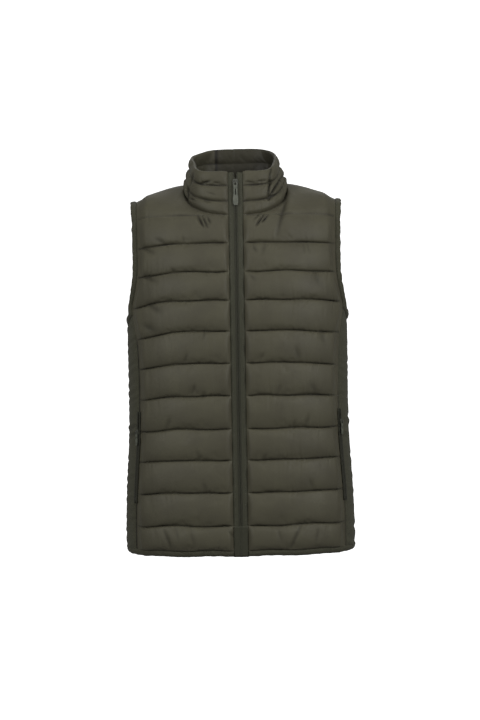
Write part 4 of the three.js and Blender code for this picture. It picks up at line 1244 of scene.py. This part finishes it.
for side, turn in SIDES.items():
    line, ways = resampled(*armhole_line(side), BINDING_PITCH)
    tangent = unit(np.roll(line, -1, 0) - np.roll(line, 1, 0))
    across = unit(np.cross(tangent, ways))
    across *= np.sign((across * (line.mean(0) - line)).sum(-1, keepdims=True))
    flared = across * math.cos(BINDING_FLARE) + ways * math.sin(BINDING_FLARE)
    run = lengths(line)
    section = gathered(ARMHOLE_SECTION, run, BINDING_SEEDS[side])
    ring = swept(
        f"armhole_{side}_cloth", turn(line), turn(flared), turn(ways), section, closed=True)
    sewn(ring, BINDING, "binding", "armhole_binding_" + side)
    seam = turn(line + flared * ARMHOLE_SEAM[0] + ways * ARMHOLE_SEAM[1])
    sewn(stitched(f"armhole_{side}_stitching", [(seam, turn(ways))]), THREAD, "binding")


def hem_line():
    """Points round the hem, from the left front's zip edge round to the right front's."""
    halves = []
    back = PANELS["back"][0][0]
    for side, turn in SIDES.items():
        front = turn(PANELS["front_" + side][0])
        panel = SIDE_SHEETS[side][0]
        halves.append(turn(np.concatenate([front[0], panel[0][1:-1], back[len(back) // 2:][::-1]])))
    return np.concatenate([halves[0], halves[1][-2::-1]])


line = hem_line()
run = lengths(line)
at = np.linspace(0, run[-1], round(run[-1] / BINDING_PITCH) + 1)
line = sampled(line, run, at)
ways = unit(np.cross(unit(np.gradient(line, axis=0)), np.array([0, 0, 1.0])))
ways[[0, -1]] = [0, -1, 0]
down = np.broadcast_to([0.0, 0.0, -1.0], line.shape)
hem = swept("hem_cloth", line, down, ways, gathered(HEM_SECTION, at, BINDING_SEEDS["hem"]))
sewn(hem, BINDING, "binding", "hem_binding")
sewn(stitched("hem_stitching", [(line + down * HEM_SEAM[0] + ways * HEM_SEAM[1], ways)]), THREAD, "binding")


# The front zip

TAPE_TOP = 2.4
TAPE_SECTION = [ # across from the zip's middle, and out from the tape's face or the wall
    (ZIP_EDGE + 0.5, 0.5), (ZIP_EDGE + 0.5, TAPE_TOP), (9.0, TAPE_TOP + 0.05), (4.2, TAPE_TOP),
    (3.4, TAPE_TOP + 0.35), (2.6, TAPE_TOP + 1.15), (1.7, TAPE_TOP + 1.35), (0.75, TAPE_TOP + 1.05),
    (0.12, TAPE_TOP + 0.2), (0.12, 0.6),
]
TAPE_SEAM = (9.2, TAPE_TOP + 0.15)
TAPE_SEEDS = {"left": 51, "right": 53}
TAPE_WAVER = 0.18
TAPE_WAVER_LENGTHS = (18, 60)
TAPE_BEAD_EDGE = 6 # the bead over the coil lies nearer the middle than this
TAPE_WAVER_FROM = 5
TAPE_SHADE = {"edge": 4.4, "fade": 1.5, "darkest": 0.4}
PARTING = 2.4 # how far each tape stands aside at the collar's top
END_TEETH_ASIDE = 0.5
SIGNS = {"left": 1, "right": -1}
TOOTH = {"pitch": 1.35, "length": 1.5, "radius": 0.42, "out": 2.35, "slant": 0.25}
FILM = {"width": 12.2, "thickness": 1.4, "corner": 0.5, "sunk": 0.2, "shade": 0.22}


def centre_line(step=4.0):
    """The middle of the front from the hem to the collar's top: points and ways out."""
    z = np.array([HEM_BOTTOM, HEM_TOP, *QUILT_LINES], float)
    body = np.stack([np.zeros_like(z), -along(SECTIONS, "front", z), z], -1)
    foot = neck_point(NECK_TURN_AT_ZIP)
    foot[0] = 0
    top_y = COLLAR_TOP["left"]["y"][0]
    top = np.array([0, top_y, COLLAR_TOP_MIDDLE + COLLAR_TOP_SLOPE * top_y])
    collar_part = mixed(foot, top, np.array([0, 0.2, 0.4, 0.6, ZIP_CHAIN_TOP, 1])[:, None])
    points = np.concatenate([body, collar_part])
    run = lengths(points)
    at = np.linspace(0, run[-1], round(run[-1] / step) + 1)
    points = sampled(points, run, at)
    rise = np.gradient(points, axis=0)
    for _ in range(3):
        rise[1:-1] = (rise[:-2] + 2 * rise[1:-1] + rise[2:]) / 4
    out = unit(np.stack([np.zeros(len(rise)), -rise[:, 2], rise[:, 1]], -1))
    split = at[-1] - (1 - ZIP_CHAIN_TOP) * np.linalg.norm(top - foot)
    return points, out, at, split


centre, centre_out, centre_run, split_run = centre_line()
parting = np.maximum(centre_run - split_run, 0) * PARTING / (centre_run[-1] - split_run)
sideways = np.broadcast_to([1.0, 0.0, 0.0], centre.shape)
chain_from = np.interp(ZIP_STOP, centre[:, 2], centre_run)
below = centre_run <= chain_from
joined = (centre_run >= chain_from) & (centre_run <= split_run)
parted = centre_run >= split_run


def zip_teeth(name, line, across, out, tooth, node_name, slants=(1.0,)):
    """Teeth along a line, which slant one way, or by turns one way and the other."""
    origins, climb, outs, ways = spaced(line, tooth["pitch"], out, across)
    slant = tooth["slant"] * np.resize(slants, len(origins))[:, None]
    if len(slants) > 1:
        origins = origins + slant * [1, 0, 0]
    shape = capsule(tooth["length"], tooth["radius"])
    teeth = repeated(name, shape, origins + outs * tooth["out"], ways + slant * climb, outs)
    sewn(teeth, COIL, "zip_teeth", node_name)


for side, sign in SIGNS.items():
    section = np.array(TAPE_SECTION) * [sign, 1]
    section = np.broadcast_to(section, (len(centre), *section.shape)).copy()
    on_bead = np.abs(section[..., 0]) < TAPE_BEAD_EDGE
    section[..., 0] += sign * parting[:, None] * on_bead
    waver = wander(TAPE_SEEDS[side], *TAPE_WAVER_LENGTHS)(centre_run)[:, None]
    section[..., 1] += TAPE_WAVER * waver * (np.abs(section[..., 0]) > TAPE_WAVER_FROM)
    tape = swept(f"zip_tape_{side}_cloth", centre, sideways, centre_out, section)
    near = (TAPE_SHADE["edge"] - np.abs(section[..., 0])) / TAPE_SHADE["fade"]
    shaded(tape.data, np.clip(near, 0, TAPE_SHADE["darkest"]))
    sewn(tape, TAPE, "zip_tape", "zip_tape_" + side)
    seam = centre + sideways * sign * TAPE_SEAM[0] + centre_out * TAPE_SEAM[1]
    sewn(stitched(f"zip_tape_{side}_stitching", [(seam, centre_out)]), THREAD, "zip_tape")

zip_teeth(
    "zip_coil", centre[joined], sideways[joined], centre_out[joined], TOOTH, "zip_chain", (1.0, -1.0))
for side, sign in SIGNS.items():
    line = centre[parted] + sideways[parted] * sign * (END_TEETH_ASIDE + parting[parted][:, None])
    name, node_name = "zip_coil_end_" + side, "zip_chain_end_" + side
    zip_teeth(name, line, sideways[parted], centre_out[parted], TOOTH, node_name)

for side, sign in SIGNS.items():
    section = rounded_section(FILM["width"], 0.0, FILM["thickness"], FILM["corner"])
    section = (section + [FILM["width"] / 2, TAPE_TOP - FILM["sunk"]]) * [sign, 1]
    film = swept("zip_film_" + side, centre[below], sideways[below], centre_out[below], section)
    shaded(film.data, np.full(len(film.data.vertices), FILM["shade"]))
    sewn(film, TAPE, "zip_tape", "zip_end_" + side)


# Hard pieces

def rounded_copy(node_name, piece_name, material, width, body=GARMENT):
    """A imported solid's copy with its edges rounded, standing for the solid."""
    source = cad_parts[node_name]
    mesh = source.data.copy()
    mesh.name = piece_name
    obj = new_object(piece_name, mesh)
    obj.matrix_world = source.matrix_world.copy()
    weld = obj.modifiers.new("Weld", "WELD")
    weld.merge_threshold = 0.00001
    bevel = obj.modifiers.new("Bevel", "BEVEL")
    bevel.width = width * MM
    bevel.segments = 3
    bevel.limit_method = "ANGLE"
    bevel.angle_limit = math.radians(25)
    bevel.use_clamp_overlap = True
    depsgraph = bpy.context.evaluated_depsgraph_get()
    baked = bpy.data.meshes.new_from_object(obj.evaluated_get(depsgraph))
    obj.modifiers.clear()
    obj.data = baked
    bpy.data.meshes.remove(mesh)
    baked.name = piece_name
    baked.materials.clear()
    baked.materials.append(material)
    baked.shade_smooth()
    baked.set_sharp_from_angle(angle=math.radians(50))
    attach(obj, body)
    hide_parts(node_name)


rounded_copy("front_slider", "front_slider_metal", SLIDER_PAINT, 0.35)
rounded_copy("front_pull", "front_pull_tab", PULL_RUBBER, 0.4, "front_pull")
rounded_copy("zip_box", "zip_box_moulding", COIL, 0.4)
for side in SIDES:
    name = "pocket_" + side
    rounded_copy(name + "_slider", name + "_slider_metal", SLIDER_PAINT, 0.25)
    rounded_copy(name + "_pull", name + "_pull_tab", PULL_RUBBER, 0.28, name + "_pull")


# Pocket zips

LIP_SECTION = [
    (5.6, 3.0), (5.6, 4.2), (4.0, 4.75), (2.2, 4.9), (1.0, 4.7), (0.55, 4.2), (0.5, 3.4), (3.0, 3.0),
]
LIP_SHADE = 0.5
LIP_FREE_EDGE = 3.5 # its points nearer the slit than this stand aside above the slider
OPENING_FADE = 8
OPENING_END = POCKET_TOP - 2
POCKET_CHAIN_BOTTOM = POCKET_BOTTOM + 3
POCKET_TOOTH = {"pitch": 1.1, "length": 1.3, "radius": 0.33, "out": 4.35, "slant": 0.25}


def seam_line(side, low, high, step=3.0):
    """Points, ways across and ways out along the seam of a front and a side panel."""
    z = np.linspace(low, high, max(2, round((high - low) / step)) + 1)
    angle = front_edge(z)
    out = body_normal(angle, z)
    across = unit(np.stack([-out[:, 1], out[:, 0], np.zeros(len(z))], -1))
    return [SIDES[side](line) for line in (body_point(angle, z), across, out)]


for side in SIDES:
    slider_z = POCKET_SLIDER[side]
    points, across, out = seam_line(side, POCKET_BOTTOM, POCKET_TOP)
    z = points[:, 2]
    opened = smooth((z - slider_z) / OPENING_FADE) * smooth((OPENING_END - z) / OPENING_FADE)
    section = np.array(LIP_SECTION)
    stations = np.broadcast_to(section, (len(z), *section.shape)).copy()
    stations[..., 0] += opened[:, None] * (section[None, :, 0] < LIP_FREE_EDGE)
    for lip, sign in (("fore", -1), ("aft", 1)):
        piece = swept(f"pocket_{side}_{lip}_lip", points, across, out, stations * [sign, 1])
        shaded(piece.data, np.full(len(piece.data.vertices), LIP_SHADE))
        nodes = ["pocket_tape_" + side] if lip == "fore" else []
        sewn(piece, TAPE, "zip_tape", *nodes)
    points, across, out = seam_line(side, POCKET_CHAIN_BOTTOM, slider_z)
    zip_teeth(f"pocket_{side}_coil", points, across, out, POCKET_TOOTH, "pocket_chain_" + side)


# Stage, light and camera

PIXEL = 1.865 # what a pixel of the photograph covers, in its row of 720
CAMERA_DISTANCE = 3000
CAMERA_X = 3.2
EYE_Z = -317
FRAME_HEIGHT = 720
SENSOR = 36
CAMERA_ROLL = math.radians(-0.95)

camera_data = bpy.data.cameras.new("camera")
camera_data.sensor_width = SENSOR
camera_data.lens = SENSOR * CAMERA_DISTANCE / (FRAME_HEIGHT * PIXEL)
camera = new_object("camera", camera_data)
camera.location = Vector((CAMERA_X, -CAMERA_DISTANCE, EYE_Z)) * MM
level_view = Matrix.Rotation(math.radians(90), 3, "X")
camera.rotation_euler = (level_view @ Matrix.Rotation(CAMERA_ROLL, 3, "Z")).to_euler()
bpy.context.scene.camera = camera

# The studio, in metres and watts

FLOOR_Z = -1.45
FLOOR_FRONT_Y = -6.0
WALL_Y = 4.6
WALL_TOP_Z = 5.0
WALL_RADIUS = 1.2
WALL_STEPS = 12
WALL_HALF_WIDTH = 9.0
SURROUND_RADIUS = 12
PAPER_COLOURS = ((0.86, 0.86, 0.86), (0.9, 0.9, 0.9))
PAPER_GLOW = 0.95
WORLD_GLOW = 0.22
LIGHTS = { # place, target, width, height, power
    "key_left": ((-1.9, -2.1, 0.75), (0, 0, -0.35), 1.1, 1.8, 46),
    "key_right": ((2.0, -2.0, 0.75), (0, 0, -0.35), 1.1, 1.8, 56),
    "top": ((0, -1.2, 2.3), (0, 0, -0.3), 1.6, 1.6, 12),
    "back_fill": ((0, 1.7, 1.2), (0, 0, -0.2), 1.4, 1.4, 6),
}


def paper_stage(name, mesh):
    """A pale piece of the studio that gives the vest no light of its own."""
    mesh.shade_smooth()
    obj = new_object(name, mesh)
    material, bsdf = shader(name + "_paper", 0.9, 0.1)
    tinted(material, bsdf, coordinates(material, "Object"), *PAPER_COLOURS, 3)
    bsdf.inputs["Emission Color"].default_value = (1, 1, 1, 1)
    bsdf.inputs["Emission Strength"].default_value = PAPER_GLOW
    mesh.materials.append(material)
    obj.visible_diffuse = False
    obj.visible_glossy = False
    return obj


def backdrop():
    """A pale floor that curves up into a wall behind the vest."""
    profile = [(FLOOR_FRONT_Y, FLOOR_Z)]
    for k in range(WALL_STEPS + 1):
        angle = math.radians(90 * k / WALL_STEPS)
        y = WALL_Y - WALL_RADIUS + WALL_RADIUS * math.sin(angle)
        profile.append((y, FLOOR_Z + WALL_RADIUS - WALL_RADIUS * math.cos(angle)))
    profile.append((WALL_Y, WALL_TOP_Z))
    points = [(x, y, z) for y, z in profile for x in (-WALL_HALF_WIDTH, WALL_HALF_WIDTH)]
    faces = [[2 * k, 2 * k + 1, 2 * k + 3, 2 * k + 2] for k in range(len(profile) - 1)]
    mesh = bpy.data.meshes.new("backdrop")
    mesh.from_pydata(points, [], faces)
    paper_stage("backdrop", mesh)


def surround():
    """A pale shell round the whole studio, for the views from the other sides."""
    shell = bmesh.new()
    bmesh.ops.create_icosphere(shell, subdivisions=4, radius=SURROUND_RADIUS)
    mesh = bpy.data.meshes.new("surround")
    shell.to_mesh(mesh)
    shell.free()
    paper_stage("surround", mesh).visible_shadow = False


def area_light(name, place, target, width, height, power):
    data = bpy.data.lights.new(name, "AREA")
    data.shape = "RECTANGLE"
    data.size = width
    data.size_y = height
    data.energy = power
    obj = new_object(name, data)
    obj.location = place
    obj.rotation_euler = (Vector(target) - Vector(place)).to_track_quat("-Z", "Y").to_euler()


backdrop()
surround()
for name, values in LIGHTS.items():
    area_light(name, *values)
world = bpy.data.worlds.new("studio")
bpy.context.scene.world = world
world.use_nodes = True
background = world.node_tree.nodes["Background"]
background.inputs["Color"].default_value = (1, 1, 1, 1)
background.inputs["Strength"].default_value = WORLD_GLOW
bpy.context.scene.view_settings.view_transform = "Standard"
